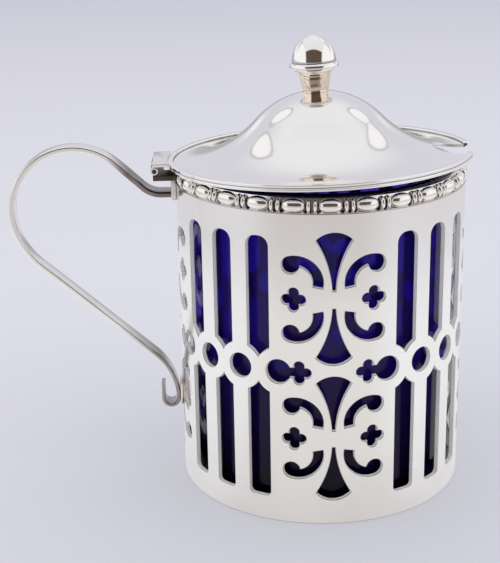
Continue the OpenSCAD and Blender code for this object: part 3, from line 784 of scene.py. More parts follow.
def makeLiner(s):
    inner = s["radius"] - s["wall"]
    floorZ = s["foot"] + s["floor"]
    lipR = s["wall"] / 2
    highRow = s["top"] - lipR - s["endRow"]
    outline = np.vstack([
        [[0, s["foot"]], [s["radius"] * 0.5, s["foot"]]],
        arcPoints((s["radius"] - s["footR"], s["foot"] + s["footR"]), s["footR"], -90, 0, s["step"]),
        [[s["radius"], z] for z in np.linspace(s["foot"] + s["footR"] + s["endRow"], highRow, s["rows"])],
        arcPoints((s["radius"] - lipR, s["top"] - lipR), lipR, 0, 180, s["step"]),
        [[inner, z] for z in np.linspace(highRow, floorZ + s["footR"] + s["endRow"], s["rows"])],
        arcPoints((inner - s["footR"], floorZ + s["footR"]), s["footR"], 0, -90, s["step"]),
        [[inner * 0.5, floorZ], [0, floorZ]]])
    piece = lathe("glassLiner", outline, s["around"])
    setFinish(piece, "cobaltGlass")
    finishPiece(piece, "liner", "blue_glass", "glass_liner")


makeLiner(liner)


# bead and reel round the rim, on a core with a seat below
moulding = {
    "foot": 61.7, "height": 2.6, "innerR": 26.5, "stripR": 27.3, "seatR": 28.42, "seatH": 0.05,
    "pathR": 27.4, "pathZ": 1.22, "beadR": 1.34, "beads": 26, "firstBead": -91.3, "beadL": 4.4,
    "beadPower": 2.4, "reelR": 1.3, "reelT": 0.9, "reelGap": 1.2, "reelPower": 2.6,
    "seatSlope": 0.25, "corner": 0.04, "around": 192, "segments": 28, "beadRings": 20, "reelRings": 12,
    "deepAt": 0.45, "brightAt": 0.75, "coreFrom": 0.3, "coreNear": 0.03, "topFrom": 0.3, "boreNear": 0.02,
    "seatNear": 0.01, "seatShade": 0.3,
}


# a round body that runs from a barrel to a disc as its power grows
def barrelTree():
    tree, given, end = startTree("barrel", [
        ("Length", "Float"), ("Radius", "Float"), ("Power", "Float"), ("Segments", "Int"), ("Rings", "Int")])
    ball = put(tree, "GeometryNodeMeshUVSphere", {
        "Segments": given["Segments"], "Rings": given["Rings"], "Radius": 1.0})
    at = put(tree, "ShaderNodeSeparateXYZ", {0: put(tree, "GeometryNodeInputPosition").outputs[0]})
    high = calc(tree, "ABSOLUTE", at.outputs["Z"])
    flat = put(tree, "ShaderNodeCombineXYZ", {"X": at.outputs["X"], "Y": at.outputs["Y"]})
    wide = put(tree, "ShaderNodeVectorMath", {0: flat.outputs[0]}, operation="LENGTH").outputs["Value"]
    left = calc(tree, "MAXIMUM", calc(tree, "SUBTRACT", 1.0, calc(tree, "POWER", high, given["Power"])), 0.0)
    swell = calc(tree, "POWER", left, calc(tree, "DIVIDE", 1.0, given["Power"]))
    factor = calc(tree, "DIVIDE", swell, calc(tree, "MAXIMUM", wide, 0.0001))
    broad = times(tree, factor, given["Radius"])
    tall = times(tree, at.outputs["Z"], times(tree, given["Length"], 0.5))
    spot = put(tree, "ShaderNodeCombineXYZ", {
        "X": times(tree, at.outputs["X"], broad),
        "Y": times(tree, at.outputs["Y"], broad), "Z": tall})
    moved = put(tree, "GeometryNodeSetPosition", {"Geometry": ball.outputs[0], "Position": spot.outputs[0]})
    tree.links.new(moved.outputs[0], end)
    return tree


def mouldingTree(s):
    barrel = barrelTree()
    sizes = ("First Bead", "Path Radius", "Path Height", "Bead Length", "Bead Radius", "Bead Power",
             "Reel Thickness", "Reel Radius", "Reel Power", "Reel Gap", "Inner Radius")
    tree, given, end = startTree("beadAndReel", [
        ("Beads", "Int"), *[(size, "Float") for size in sizes], ("Finish", "Material")])

    def body(length, radius, power, rings):
        return put(tree, "GeometryNodeGroup", {
            "Length": length, "Radius": radius, "Power": power, "Segments": s["segments"], "Rings": rings},
            node_tree=barrel).outputs[0]
    path = put(tree, "GeometryNodeCurvePrimitiveCircle", {
        "Resolution": given["Beads"], "Radius": given["Path Radius"]})
    lifted = put(tree, "ShaderNodeCombineXYZ", {"Z": given["Path Height"]}).outputs[0]
    half = calc(tree, "DIVIDE", math.pi, given["Beads"])

    def ring(turn, shape):
        spin = put(tree, "ShaderNodeCombineXYZ", {"Z": turn}).outputs[0]
        placed = put(tree, "GeometryNodeTransform", {
            "Geometry": path.outputs[0], "Translation": lifted, "Rotation": spin})
        points = put(tree, "GeometryNodeCurveToPoints", {"Curve": placed.outputs[0]}, mode="EVALUATED")
        points = points.outputs
        return put(tree, "GeometryNodeInstanceOnPoints", {
            "Points": points["Points"], "Instance": shape, "Rotation": points["Rotation"]}).outputs[0]
    bead = body(given["Bead Length"], given["Bead Radius"], given["Bead Power"], s["beadRings"])
    reel = body(given["Reel Thickness"], given["Reel Radius"], given["Reel Power"], s["reelRings"])
    apart = times(tree, given["Reel Gap"], 0.5)
    pair = put(tree, "GeometryNodeJoinGeometry")
    for sign in (1.0, -1.0):
        shift = put(tree, "ShaderNodeCombineXYZ", {"Z": times(tree, apart, sign)}).outputs[0]
        placed = put(tree, "GeometryNodeTransform", {"Geometry": reel, "Translation": shift})
        tree.links.new(placed.outputs[0], pair.inputs[0])
    joined = put(tree, "GeometryNodeJoinGeometry")
    first = given["First Bead"]
    tree.links.new(ring(first, bead), joined.inputs[0])
    tree.links.new(ring(calc(tree, "ADD", half, first), pair.outputs[0]), joined.inputs[0])
    whole = put(tree, "GeometryNodeRealizeInstances", {"Geometry": joined.outputs[0]})
    # the back of each bead lies flat on the bore
    at = put(tree, "ShaderNodeSeparateXYZ", {0: put(tree, "GeometryNodeInputPosition").outputs[0]})
    flat = put(tree, "ShaderNodeCombineXYZ", {"X": at.outputs["X"], "Y": at.outputs["Y"]}).outputs[0]
    away = put(tree, "ShaderNodeVectorMath", {0: flat}, operation="LENGTH").outputs["Value"]
    factor = calc(tree, "MAXIMUM", calc(tree, "DIVIDE", given["Inner Radius"], away), 1.0)
    spot = put(tree, "ShaderNodeCombineXYZ", {
        "X": times(tree, at.outputs["X"], factor),
        "Y": times(tree, at.outputs["Y"], factor), "Z": at.outputs["Z"]})
    cut = put(tree, "GeometryNodeSetPosition", {"Geometry": whole.outputs[0], "Position": spot.outputs[0]})
    smooth = put(tree, "GeometryNodeSetShadeSmooth", {"Geometry": cut.outputs[0]})
    both = put(tree, "GeometryNodeJoinGeometry")
    tree.links.new(smooth.outputs[0], both.inputs[0])
    tree.links.new(given["Geometry"], both.inputs[0])
    dressTree(tree, both.outputs[0], given, end)
    return tree


def makeMoulding(s):
    z0, z1 = s["foot"], s["foot"] + s["height"]
    ring = [[s["innerR"], z1], [s["innerR"], z0], [s["seatR"], z0], [s["seatR"], z0 + s["seatH"]],
            [s["stripR"], z0 + s["seatH"] + s["seatSlope"]], [s["stripR"], z1], [s["innerR"], z1]]
    core = lathe("mouldingCore", softCorners(ring, s["corner"]), s["around"])
    piece = bakeNodes(core, mouldingTree(s), {
        "Beads": s["beads"], "First Bead": math.radians(s["firstBead"]),
        "Path Radius": s["pathR"] * mm, "Path Height": (z0 + s["pathZ"]) * mm,
        "Bead Length": s["beadL"] * mm, "Bead Radius": s["beadR"] * mm, "Bead Power": s["beadPower"],
        "Reel Thickness": s["reelT"] * mm, "Reel Radius": s["reelR"] * mm, "Reel Power": s["reelPower"],
        "Reel Gap": s["reelGap"] * mm, "Inner Radius": s["innerR"] * mm,
        "Finish": finishes["mouldingSilver"]}, "rimMoulding")
    mesh = piece.data
    spots = np.zeros(len(mesh.vertices) * 3)
    mesh.vertices.foreach_get("co", spots)
    spots = spots.reshape(-1, 3) / mm
    # tarnish and painted shade lie where the surface is deep between the beads and reels, over the core and
    # the bore, and lighter on the seat
    r, z = np.hypot(spots[:, 0], spots[:, 1]), spots[:, 2]
    away = np.hypot(r - s["pathR"], z - z0 - s["pathZ"])
    hollow = np.clip((s["brightAt"] - away) / (s["brightAt"] - s["deepAt"]), 0, 1)
    onCore = (r > s["innerR"] + s["coreFrom"]) & (r < s["stripR"] + s["coreNear"])
    hollow[onCore & (z < z1 - s["topFrom"])] = 1.0
    hollow[r < s["innerR"] + s["boreNear"]] = 1.0
    hollow[z < z0 + s["seatH"] + s["seatNear"]] = s["seatShade"]
    storeMark(mesh, "hollow", hollow)
    finishPiece(piece, "pot", "silver_moulding", "rim_moulding")


makeMoulding(moulding)


# the lid: its pieces are drawn level and then tipped about the hinge as it rests
lid = {
    "hinge": (-32.4, 0.0, 64.6), "seat": 64.4, "tilt": 1.65, "skew": 1.7, "outerR": 29.82, "thick": 0.6,
    "rise": 13.2, "edgeRise": 0.75, "crownR": 17.2, "wireW": 1.0, "wireH": 1.2, "gap": 0.02, "soft": 0.09,
    "notchAngle": 6.5, "notchW": 9.2, "notchDepth": 7.8, "notchFrontR": 4.4, "notchBackR": 3.6,
    "edgeStep": 0.6, "frontStep": 0.3, "backStep": 0.25, "fillStep": 1.3, "fillClear": 0.65,
}
hinge = Vector(lid["hinge"]) * mm
lidPlace = (Matrix.Translation(hinge) @ Matrix.Rotation(math.radians(-lid["tilt"]), 4, "Y")
            @ Matrix.Translation((-hinge.x, 0, lid["seat"] * mm - hinge.z))
            @ Matrix.Rotation(math.radians(-lid["skew"]), 4, "X"))
domeEdgeR = lid["outerR"] - lid["wireW"]
# angle at which the crown turns into the hollow skirt, and the skirt's radius, so that both meet smoothly
drop = lid["rise"] - lid["edgeRise"]
ogee = 2 * math.atan2(drop, domeEdgeR)
skirtR = domeEdgeR / math.sin(ogee) - lid["crownR"]
ogeeR = lid["crownR"] * math.sin(ogee)


def domeHeight(r):
    r = np.asarray(r, float)
    crown = lid["rise"] - lid["crownR"] + np.sqrt(np.maximum(lid["crownR"] ** 2 - r ** 2, 0))
    skirt = lid["edgeRise"] + skirtR - np.sqrt(np.maximum(skirtR ** 2 - (r - domeEdgeR) ** 2, 0))
    return np.where(r < ogeeR, crown, skirt)


def domeLean(r):
    r = np.asarray(r, float)
    crown = r / np.sqrt(np.maximum(lid["crownR"] ** 2 - r ** 2, 1e-6))
    skirt = (domeEdgeR - r) / np.sqrt(np.maximum(skirtR ** 2 - (r - domeEdgeR) ** 2, 1e-6))
    return np.where(r < ogeeR, crown, skirt)


def tipLid(points):
    turned = np.array(lidPlace.to_3x3())
    return points @ turned.T + np.array(lidPlace.translation) / mm


def domeFacing(points):
    r = np.maximum(np.hypot(points[:, 0], points[:, 1]), 1e-9)
    slope = domeLean(r)
    n = np.column_stack([points[:, 0] / r * slope, points[:, 1] / r * slope, np.ones(len(r))])
    return unit(n)


def makeDome(s):
    half = s["notchW"] / 2
    edge = domeEdgeR - s["gap"]
    reach = math.degrees(math.asin(half / edge))
    start = s["outerR"] - s["notchDepth"]
    front, back = s["notchFrontR"], s["notchBackR"]
    mouth = edge * math.cos(math.radians(reach))
    notch = joinPath([[mouth, -half], [start + front, -half]],
                     arcPoints((start + front, front - half), front, 270, 180, s["frontStep"]),
                     [[start, half - back]],
                     arcPoints((start + back, half - back), back, 180, 90, s["backStep"]),
                     [[mouth, half]])
    a = math.radians(-s["notchAngle"])
    notch = notch @ np.array([[math.cos(a), math.sin(a)], [-math.sin(a), math.cos(a)]])
    rim = arcPoints((0, 0), edge, -s["notchAngle"] + reach, 360 - s["notchAngle"] - reach, s["edgeStep"])
    outline = splitLong(joinPath(rim, notch), s["edgeStep"])
    fill = fillPoints(outline, [], s["fillStep"], s["fillClear"])
    turned = np.array(lidPlace.to_3x3())

    def place(points, depth):
        r = np.hypot(points[:, 0], points[:, 1])
        base = np.column_stack([points, domeHeight(r)])
        return tipLid(base - domeFacing(points) * depth)

    def facing(points):
        return domeFacing(points) @ turned.T
    border = [(outline, "closed")]
    piece, normals = pierceSheet("lidDome", border, [], fill, place, facing, s["thick"], s["soft"])
    piece.data.normals_split_custom_set(normals.tolist())
    setFinish(piece, "lidSilver")
    finishPiece(piece, "lid", "silver", "lid_dome")


makeDome(lid)


# the grooved wire on the lid's edge, open at the notch
wire = {
    "groove": 0.2, "grooveR": 0.03, "bulgeR": 0.14, "flankR": 0.1, "toe": 0.02, "flank": 0.12, "soft": 0.24,
    "boreR": 0.08, "crease": 0.84, "arcStep": 0.05, "around": 300, "sharp": 45.0,
    "endSoft": 0.6, "endParts": 6, "endSize": 0.25, "grooveShadeHalf": 0.16, "grooveShadeFrom": 0.4, "near": 0.01,
}


def wireSection(s):
    outer, inner, tall = lid["outerR"], lid["outerR"] - lid["wireW"], lid["wireH"]
    mid, toe, flank = tall / 2, s["toe"], s["flank"]
    bulge = mid - 0.5 * s["groove"]
    lower = [([inner, 0], s["boreR"]), ([outer - toe, 0], s["soft"]), ([outer, flank], s["flankR"]),
             ([outer, bulge - flank], s["bulgeR"])]
    upper = [([r, tall - z], soft) for (r, z), soft in lower[::-1]]
    rim = lower + [([outer - s["groove"], mid], s["grooveR"])] + upper
    crease = ([inner, s["crease"]], 0)
    points, radii = zip(crease, *rim, crease)
    return softCorners(np.array(points), radii, s["arcStep"])[:-1]


def makeWire(s):
    outer, inner, mid = lid["outerR"], lid["outerR"] - lid["wireW"], lid["wireH"] / 2
    ring = wireSection(s)
    middle = (outer + inner) / 2
    half = lid["notchW"] / 2
    count = len(ring)
    # closer steps at both ends, which are rounded over
    length = math.tau * outer - lid["notchW"]
    near = s["endSoft"] * (1 - np.cos(np.linspace(0, math.pi / 2, s["endParts"])))
    along = np.linspace(s["endSoft"], length - s["endSoft"], s["around"])[1:-1]
    ways = np.concatenate([near, along, length - near[::-1]])
    spots, marks = [], []
    for way in ways:
        short = 1 - min(way, length - way, s["endSoft"]) / s["endSoft"]
        size = s["endSize"] + (1 - s["endSize"]) * math.sqrt(max(0.0, 1 - short ** 2))
        for r, z in ring:
            reach = math.asin(half / r)
            first = -math.radians(lid["notchAngle"]) + reach
            turn = first + (math.tau - 2 * reach) * way / length
            wide = middle + (r - middle) * size
            spots.append((wide * math.cos(turn), wide * math.sin(turn), mid + (z - mid) * size))
            # painted shade along the groove and in the crease where the wire meets the dome
            groove = max(0.0, 1.0 - abs(z - mid) / s["grooveShadeHalf"])
            inCrease = r < inner + s["near"] and z < s["crease"] + s["near"]
            marks.append(groove if r > inner + s["grooveShadeFrom"] else float(inCrease))
    faces = []
    for k in range(len(ways) - 1):
        for i in range(count):
            j = (i + 1) % count
            a, b = k * count, (k + 1) * count
            faces.append([a + i, b + i, b + j, a + j])
    faces.append(list(range(count))[::-1])
    faces.append([(len(ways) - 1) * count + i for i in range(count)])
    mesh = bpy.data.meshes.new("lidWire")
    mesh.from_pydata((tipLid(np.array(spots)) * mm).tolist(), [], faces)
    storeMark(mesh, "hollow", marks)
    mesh.shade_smooth()
    mesh.set_sharp_from_angle(angle=math.radians(s["sharp"]))
    piece = addPiece("lidWire", mesh)
    setFinish(piece, "wireSilver")
    finishPiece(piece, "lid", "silver", "lid_wire")


makeWire(wire)


# the knop: a short flared stem and an acorn on its cup, leaning a little about the hub of the crown
finial = {
    "lean": 1.3, "footD": 5.0, "midD": 5.5, "midH": 1.3, "topD": 6.3, "stemH": 4.0, "flareH": 0.8,
    "flareW": 0.6, "neckParts": 8, "cupD": 9.6, "cupH": 1.65, "cupTurn": 72.0, "cupIn": 0.02, "cupStep": 0.08,
    "nutD": 8.7, "nutH": 5.2, "nutPower": 1.8, "nutIn": 0.05, "nutFrom": 0.02, "nutParts": 40,
    "crease": 0.4, "creaseBelow": 3.0, "seam": 0.02, "around": 96, "sharp": 50.0,
}


def makeFinial(s):
    rise = lid["rise"]
    hub = (rise - lid["crownR"]) * mm
    place = (lidPlace @ Matrix.Translation((0, 0, hub)) @ Matrix.Rotation(math.radians(-s["lean"]), 4, "Y")
             @ Matrix.Translation((0, 0, -hub)))
    footR, midR, topR = s["footD"] / 2, s["midD"] / 2, s["topD"] / 2
    under = [[r, float(domeHeight(r)) + s["seam"]] for r in np.linspace(0, footR, s["neckParts"])]
    flareZ, top = rise + s["stemH"] - s["flareH"], rise + s["stemH"]
    neck = throughPoints([[footR, under[-1][1]], [midR, rise + s["midH"]], [topR, flareZ],
                          [topR + s["flareW"], top]], s["neckParts"])
    outline = np.vstack([under, neck[1:], [[0, top]]])
    piece = lathe("finialStem", outline, s["around"], place, s["sharp"])
    setFinish(piece, "stemSilver")
    finishPiece(piece, "lid", "silver_worn", "finial_stem")

    cupR, nutR, nutZ = s["cupD"] / 2, s["nutD"] / 2, top + s["cupH"]
    roll = (s["cupH"] - s["seam"]) / 2
    cup = arcPoints((cupR - s["cupIn"] - roll, nutZ - roll), roll, -90, s["cupTurn"], s["cupStep"])
    a = np.linspace(s["nutFrom"], math.pi / 2, s["nutParts"])
    nut = np.column_stack([(nutR - s["nutIn"]) * np.cos(a) ** (2 / s["nutPower"]),
                           nutZ + s["nutH"] * np.sin(a) ** (2 / s["nutPower"])])
    nut[-1, 0] = 0.0
    outline = np.vstack([[[0, top + s["seam"]]], cup, nut])
    # painted shade in the crease where the acorn sits on its cup
    marks = [max(0.0, 1.0 - max(z - nutZ, (nutZ - z) * s["creaseBelow"]) / s["crease"]) for r, z in outline]
    piece = lathe("finialAcorn", outline, s["around"], place, s["sharp"], marks)
    setFinish(piece, "finialSilver")
    finishPiece(piece, "lid", "silver", "finial_acorn")


makeFinial(finial)


# the strap handle follows its middle line from the upper pad to the curl
strap = {
    "wide": 4.6, "thick": 1.1, "curlT": 0.75, "corner": 0.34, "cornerParts": 6,
    "drumR": 28.5, "startZ": 59.1, "upperPadT": 0.9, "lowerPadT": 0.5,
    "rootL": 1.9, "rootR": 5.2, "riseAngle": 43.0, "riseL": 6.9, "loopR": 12.4, "fallR": 15.0,
    "runAngle": 41.5, "footR": 13.4, "curlR": 1.55, "curlL": 3.0, "step": 0.45, "sharp": 50.0,
    "rootDarkRange": (0.15, 0.10), "footDarkRange": (0.72, 0.82), "footDarkShare": 0.8,
    "widths": ((0.0, 1.25), (0.06, 1.15), (0.17, 0.85), (0.3, 0.75), (0.5, 0.8), (0.75, 0.85), (1.0, 0.85)),
    "depths": ((0.0, 1.0), (0.53, 1.0), (0.81, 0.68), (1.0, 0.68)),
}


def strapLine(s):
    x, z, heading = -(s["drumR"] + s["upperPadT"]), s["startZ"], 180.0
    points = [(x, z)]

    def go(length):
        nonlocal x, z
        parts = max(1, round(length / s["step"]))
        for k in range(parts):
            x += length / parts * math.cos(math.radians(heading))
            z += length / parts * math.sin(math.radians(heading))
            points.append((x, z))

    def bend(r, by):
        nonlocal x, z, heading
        sign = 1 if by > 0 else -1
        hubX = x - sign * r * math.sin(math.radians(heading))
        hubZ = z + sign * r * math.cos(math.radians(heading))
        parts = max(4, round(abs(math.radians(by)) * r / s["step"]))
        for k in range(1, parts + 1):
            at = math.radians(heading + by * k / parts)
            points.append((hubX + sign * r * math.sin(at), hubZ - sign * r * math.cos(at)))
        x, z = points[-1]
        heading += by
    go(s["rootL"])
    bend(s["rootR"], -s["riseAngle"])
    go(s["riseL"])
    bend(s["loopR"], 90 + s["riseAngle"])
    bend(s["fallR"], 90 - s["runAngle"])
    footX = -(s["drumR"] + s["lowerPadT"] + s["curlT"] / 2)
    turn = math.radians(s["runAngle"])
    go((footX - x - s["footR"] * (1 - math.sin(turn))) / math.cos(turn))
    bend(s["footR"], s["runAngle"] - 90)
    bend(s["curlR"], -180)
    go(s["curlL"])
    return points


# a value that follows the share of the way along the strap
def alongStrap(tree, share, steps):
    shape = put(tree, "ShaderNodeFloatCurve", {"Value": share})
    curve = shape.mapping.curves[0]
    for k, (where, value) in enumerate(steps):
        if 0 < k < len(steps) - 1:
            curve.points.new(where, value)
        else:
            curve.points[0 if k == 0 else -1].location = (where, value)
    shape.mapping.update()
    return shape.outputs[0]


def strapTree(s):
    tree, given, end = startTree("strapAlongLine", [
        ("Width", "Float"), ("Thickness", "Float"), ("Corner", "Float"), ("Finish", "Material")])
    level = put(tree, "GeometryNodeSetCurveNormal", {
        "Curve": given["Geometry"], "Normal": (0, 1, 0)}, mode="FREE")
    along = put(tree, "GeometryNodeSplineParameter").outputs["Factor"]
    stored = put(tree, "GeometryNodeStoreNamedAttribute", {
        "Geometry": level.outputs[0], "Name": "along", "Value": along}, data_type="FLOAT", domain="POINT")
    here = put(tree, "GeometryNodeInputPosition").outputs[0]
    stored = put(tree, "GeometryNodeStoreNamedAttribute", {
        "Geometry": stored.outputs[0], "Name": "middle", "Value": here},
        data_type="FLOAT_VECTOR", domain="POINT")
    box = put(tree, "GeometryNodeCurvePrimitiveQuadrilateral", {
        "Width": given["Width"], "Height": given["Thickness"]})
    section = put(tree, "GeometryNodeFilletCurve", {
        "Curve": box.outputs[0], "Count": s["cornerParts"], "Radius": given["Corner"], "Limit Radius": True},
        mode="POLY")
    swept = put(tree, "GeometryNodeCurveToMesh", {
        "Curve": stored.outputs[0], "Profile Curve": section.outputs[0], "Fill Caps": True})
    share = put(tree, "GeometryNodeInputNamedAttribute", {"Name": "along"}, data_type="FLOAT").outputs[0]
    wide, thick = alongStrap(tree, share, s["widths"]), alongStrap(tree, share, s["depths"])
    size = put(tree, "ShaderNodeCombineXYZ", {"X": thick, "Y": wide, "Z": thick}).outputs[0]
    middle = put(tree, "GeometryNodeInputNamedAttribute", {"Name": "middle"}, data_type="FLOAT_VECTOR")
    middle = middle.outputs[0]
    off = put(tree, "ShaderNodeVectorMath", {0: here, 1: middle}, operation="SUBTRACT").outputs[0]
    spot = put(tree, "ShaderNodeVectorMath", {0: off, 1: size, 2: middle}, operation="MULTIPLY_ADD")
    moved = put(tree, "GeometryNodeSetPosition", {"Geometry": swept.outputs[0], "Position": spot.outputs[0]})
    smooth = put(tree, "GeometryNodeSetShadeSmooth", {"Geometry": moved.outputs[0]})
    dressTree(tree, smooth.outputs[0], given, end)
    return tree


def makeHandle(s):
    points = strapLine(s)
    curve = bpy.data.curves.new("strapLine", "CURVE")
    curve.dimensions = "3D"
    line = curve.splines.new("POLY")
    line.points.add(len(points) - 1)
    for point, (x, z) in zip(line.points, points):
        point.co = (x * mm, 0, z * mm, 1)
    source = addPiece("strapLine", curve)
    piece = bakeNodes(source, strapTree(s), {
        "Width": s["wide"] * mm, "Thickness": s["thick"] * mm, "Corner": s["corner"] * mm,
        "Finish": finishes["handleSilver"]}, "handle")
    mesh = piece.data
    tidy = bmesh.new()
    tidy.from_mesh(mesh)
    bmesh.ops.remove_doubles(tidy, verts=tidy.verts, dist=1e-6)
    bmesh.ops.recalc_face_normals(tidy, faces=tidy.faces)
    tidy.to_mesh(mesh)
    tidy.free()
    along = np.zeros(len(mesh.vertices), np.float32)
    mesh.attributes["along"].data.foreach_get("value", along)
    for used in ("along", "middle"):
        mesh.attributes.remove(mesh.attributes[used])
    # the strap is darkest at the root and the rise, then at the foot and the curl
    atRoot, atFoot = [np.clip((along - bare) / (full - bare), 0, 1)
                      for bare, full in (s["rootDarkRange"], s["footDarkRange"])]
    storeMark(mesh, "worn", np.maximum(atRoot, s["footDarkShare"] * atFoot))
    mesh.set_sharp_from_angle(angle=math.radians(s["sharp"]))
    finishPiece(piece, "pot", "silver", "handle")


makeHandle(strap)


# small fittings keep their own solids, with their edges eased by the width that ends each row
fittings = {
    "basePlate": ("base_plate", "pot", "silver", "baseSilver", 0.15),
    "handleUpperPad": ("handle_upper_pad", "pot", "silver_worn", "rootSilver", 0.25),
    "handleLowerPad": ("handle_lower_pad", "pot", "silver_worn", "padSilver", 0.25),
    "hingeBodyLeaf": ("hinge_body_leaf", "pot", "silver_worn", "hingeSilver", 0.12),
    "hingeBodyKnuckles": ("hinge_body_knuckles", "pot", "silver_worn", "leafSilver", 0.08),
    "hingeLidLeaf": ("hinge_lid_leaf", "lid", "silver_worn", "leafSilver", 0.14),
    "hingeLidKnuckles": ("hinge_lid_knuckles", "lid", "silver_worn", "hingeSilver", 0.08),
    "hingePin": ("hinge_pin", "pot", "silver_worn", "hingeSilver", 0.1),
}
easing = {"merge": 2e-6, "flat": 0.4, "keen": 35.0, "sharp": 38.0, "parts": 3}


def easeNode(name, node, body, slot, finish, wide, s=easing):
    mesh = nodes[node].data.copy()
    mesh.name = name
    work = bmesh.new()
    work.from_mesh(mesh)
    bmesh.ops.remove_doubles(work, verts=work.verts, dist=s["merge"])
    bmesh.ops.dissolve_limit(work, angle_limit=math.radians(s["flat"]), verts=work.verts, edges=work.edges)
    bmesh.ops.recalc_face_normals(work, faces=work.faces)
    turn = math.radians(s["keen"])
    keen = [e for e in work.edges if len(e.link_faces) == 2 and e.calc_face_angle(0) > turn]
    bmesh.ops.bevel(work, geom=keen, offset=wide * mm, offset_type="OFFSET", segments=s["parts"], profile=0.5,
                    affect="EDGES", clamp_overlap=True)
    work.to_mesh(mesh)
    work.free()
    mesh.shade_smooth()
    mesh.set_sharp_from_angle(angle=math.radians(s["sharp"]))
    for layer in list(mesh.uv_layers):
        mesh.uv_layers.remove(layer)
    piece = addPiece(name, mesh)
    setFinish(piece, finish)
    finishPiece(piece, body, slot, node)


for name, settings in fittings.items():
    easeNode(name, *settings)


# plain studio: a pale floor in a white tent that is open towards the camera
studio = {
    "floorHalf": 6.0, "floorOwn": 0.35,
    "near": (0.645, 0.645, 0.716), "middle": (0.694, 0.694, 0.768), "far": (0.638, 0.631, 0.730),
    "nearY": -0.05, "middleY": 0.12, "farY": 0.9,
    "sheetFront": (0.76, 0.745, 0.74), "sheetSide": (0.87, 0.86, 0.89), "sheetBack": (0.77, 0.775, 0.84),
    "tableFront": (0.59, 0.565, 0.56), "tableSide": (0.69, 0.68, 0.71),
    "sideTurn": (25.0, 62.0), "backTurn": (120.0, 150.0), "sheetEdge": (0.13, 0.215),
    "wall": (0.70, 0.69, 0.76), "ceiling": (0.88, 0.88, 0.90), "wallEnd": (25.0, 60.0),
    "panel": (1.0, 1.0, 1.0), "panelFrom": (42.0, 46.0), "panelTo": (112.0, 124.0),
    "lowPanel": (100.0, 110.0, 148.0, 160.0), "lowPanelTop": (12.0, 22.0),
    "pane": (0.97, 0.97, 0.975), "paneHub": (136.0, 43.5), "paneHalf": (12.0, 8.5), "paneEdge": (0.94, 1.06),
    "frame": (0.56, 0.55, 0.57), "frameEdge": (1.12, 1.3),
    "behind": (0.47, 0.465, 0.48), "behindTurn": (120.0, 142.0), "behindFrom": (0.30, 0.50),
    "behindHigh": (3.0, 8.0), "gapTop": (0.85, 0.85, 0.86), "gap": (0.11, 0.08, 0.062),
    "gapHalf": (38.0, 42.0), "gapAhead": (-0.1, 0.1), "gapRise": (-1.0, 3.0, 51.0, 56.0),
    "openingTurn": -5.3, "ambient": 0.8,
    "lamps": {
        "leftSoftbox": ((-0.62, -0.42, 0.42), (0.9, 0.9), 1.3),
        "rightSoftbox": ((0.66, -0.40, 0.46), (0.9, 0.9), 1.2),
        "topSoftbox": ((0.0, 0.15, 0.85), (1.0, 1.0), 2.0),
    },
    "aim": (0.0, 0.0, 0.04),
}


def mirroredRay(tree):
    rays = put(tree, "ShaderNodeLightPath").outputs
    return calc(tree, "MAXIMUM", rays["Is Glossy Ray"], rays["Is Transmission Ray"]), rays["Is Camera Ray"]


def ease(tree, value, low, high):
    feeds = {"Value": value, "From Min": low, "From Max": high}
    return put(tree, "ShaderNodeMapRange", feeds, interpolation_type="SMOOTHSTEP").outputs["Result"]


# how far a place or direction lies towards the tent's opening, and how far to its side
def fromOpening(tree, at, s):
    turn = math.radians(s["openingTurn"])
    across, along = math.sin(turn), math.cos(turn)
    ahead = calc(tree, "SUBTRACT", times(tree, at["X"], across), times(tree, at["Y"], along))
    aside = calc(tree, "ADD", times(tree, at["X"], along), times(tree, at["Y"], across))
    aside = calc(tree, "ABSOLUTE", aside)
    return ahead, aside, inDegrees(tree, calc(tree, "ARCTAN2", aside, ahead))


def makeFloor(s):
    half = s["floorHalf"]
    mesh = bpy.data.meshes.new("studioFloor")
    corners = [(-half, -half, 0), (half, -half, 0), (half, half, 0), (-half, half, 0)]
    mesh.from_pydata(corners, [], [[0, 1, 2, 3]])
    floor = addPiece("studioFloor", mesh)
    material = bpy.data.materials.new("studioFloor")
    material.use_nodes = True
    tree = material.node_tree
    tree.nodes.clear()
    spot = put(tree, "ShaderNodeTexCoord").outputs["Object"]
    at = put(tree, "ShaderNodeSeparateXYZ", {0: spot}).outputs
    back, beyond = ease(tree, at["Y"], s["nearY"], s["middleY"]), ease(tree, at["Y"], s["middleY"], s["farY"])
    colour = blendColour(tree, back, paint(s["near"]), paint(s["middle"]))
    colour = blendColour(tree, beyond, colour, paint(s["far"]))
    mirrored, shown = mirroredRay(tree)
    away = fromOpening(tree, at, s)[2]
    # what the metal mirrors: a white sheet round the pot, duller in front, on a greyer table
    aside = ease(tree, away, *s["sideTurn"])
    sheet = blendColour(tree, aside, paint(s["sheetFront"]), paint(s["sheetSide"]))
    sheet = blendColour(tree, ease(tree, away, *s["backTurn"]), sheet, paint(s["sheetBack"]))
    table = blendColour(tree, aside, paint(s["tableFront"]), paint(s["tableSide"]))
    far = put(tree, "ShaderNodeVectorMath", {0: spot}, operation="LENGTH").outputs["Value"]
    sheet = blendColour(tree, ease(tree, far, *s["sheetEdge"]), sheet, table)
    dark = times(tree, ease(tree, far, *s["behindFrom"]), ease(tree, away, *s["behindTurn"]))
    colour = blendColour(tree, mirrored, colour, blendColour(tree, dark, sheet, paint(s["behind"])))
    lit = put(tree, "ShaderNodeBsdfDiffuse", {"Color": colour})
    own = put(tree, "ShaderNodeEmission", {"Color": colour, "Strength": 1.0})
    part = times(tree, calc(tree, "MAXIMUM", mirrored, shown), s["floorOwn"])
    both = put(tree, "ShaderNodeMixShader", {0: part, 1: lit.outputs[0], 2: own.outputs[0]})
    put(tree, "ShaderNodeOutputMaterial", {"Surface": both.outputs[0]})
    mesh.materials.append(material)


# 1 between the two inner values, falling to 0 at the outer ones
def within(tree, value, limits):
    a, b, c, d = limits
    return times(tree, ease(tree, value, a, b), ease(tree, value, d, c))


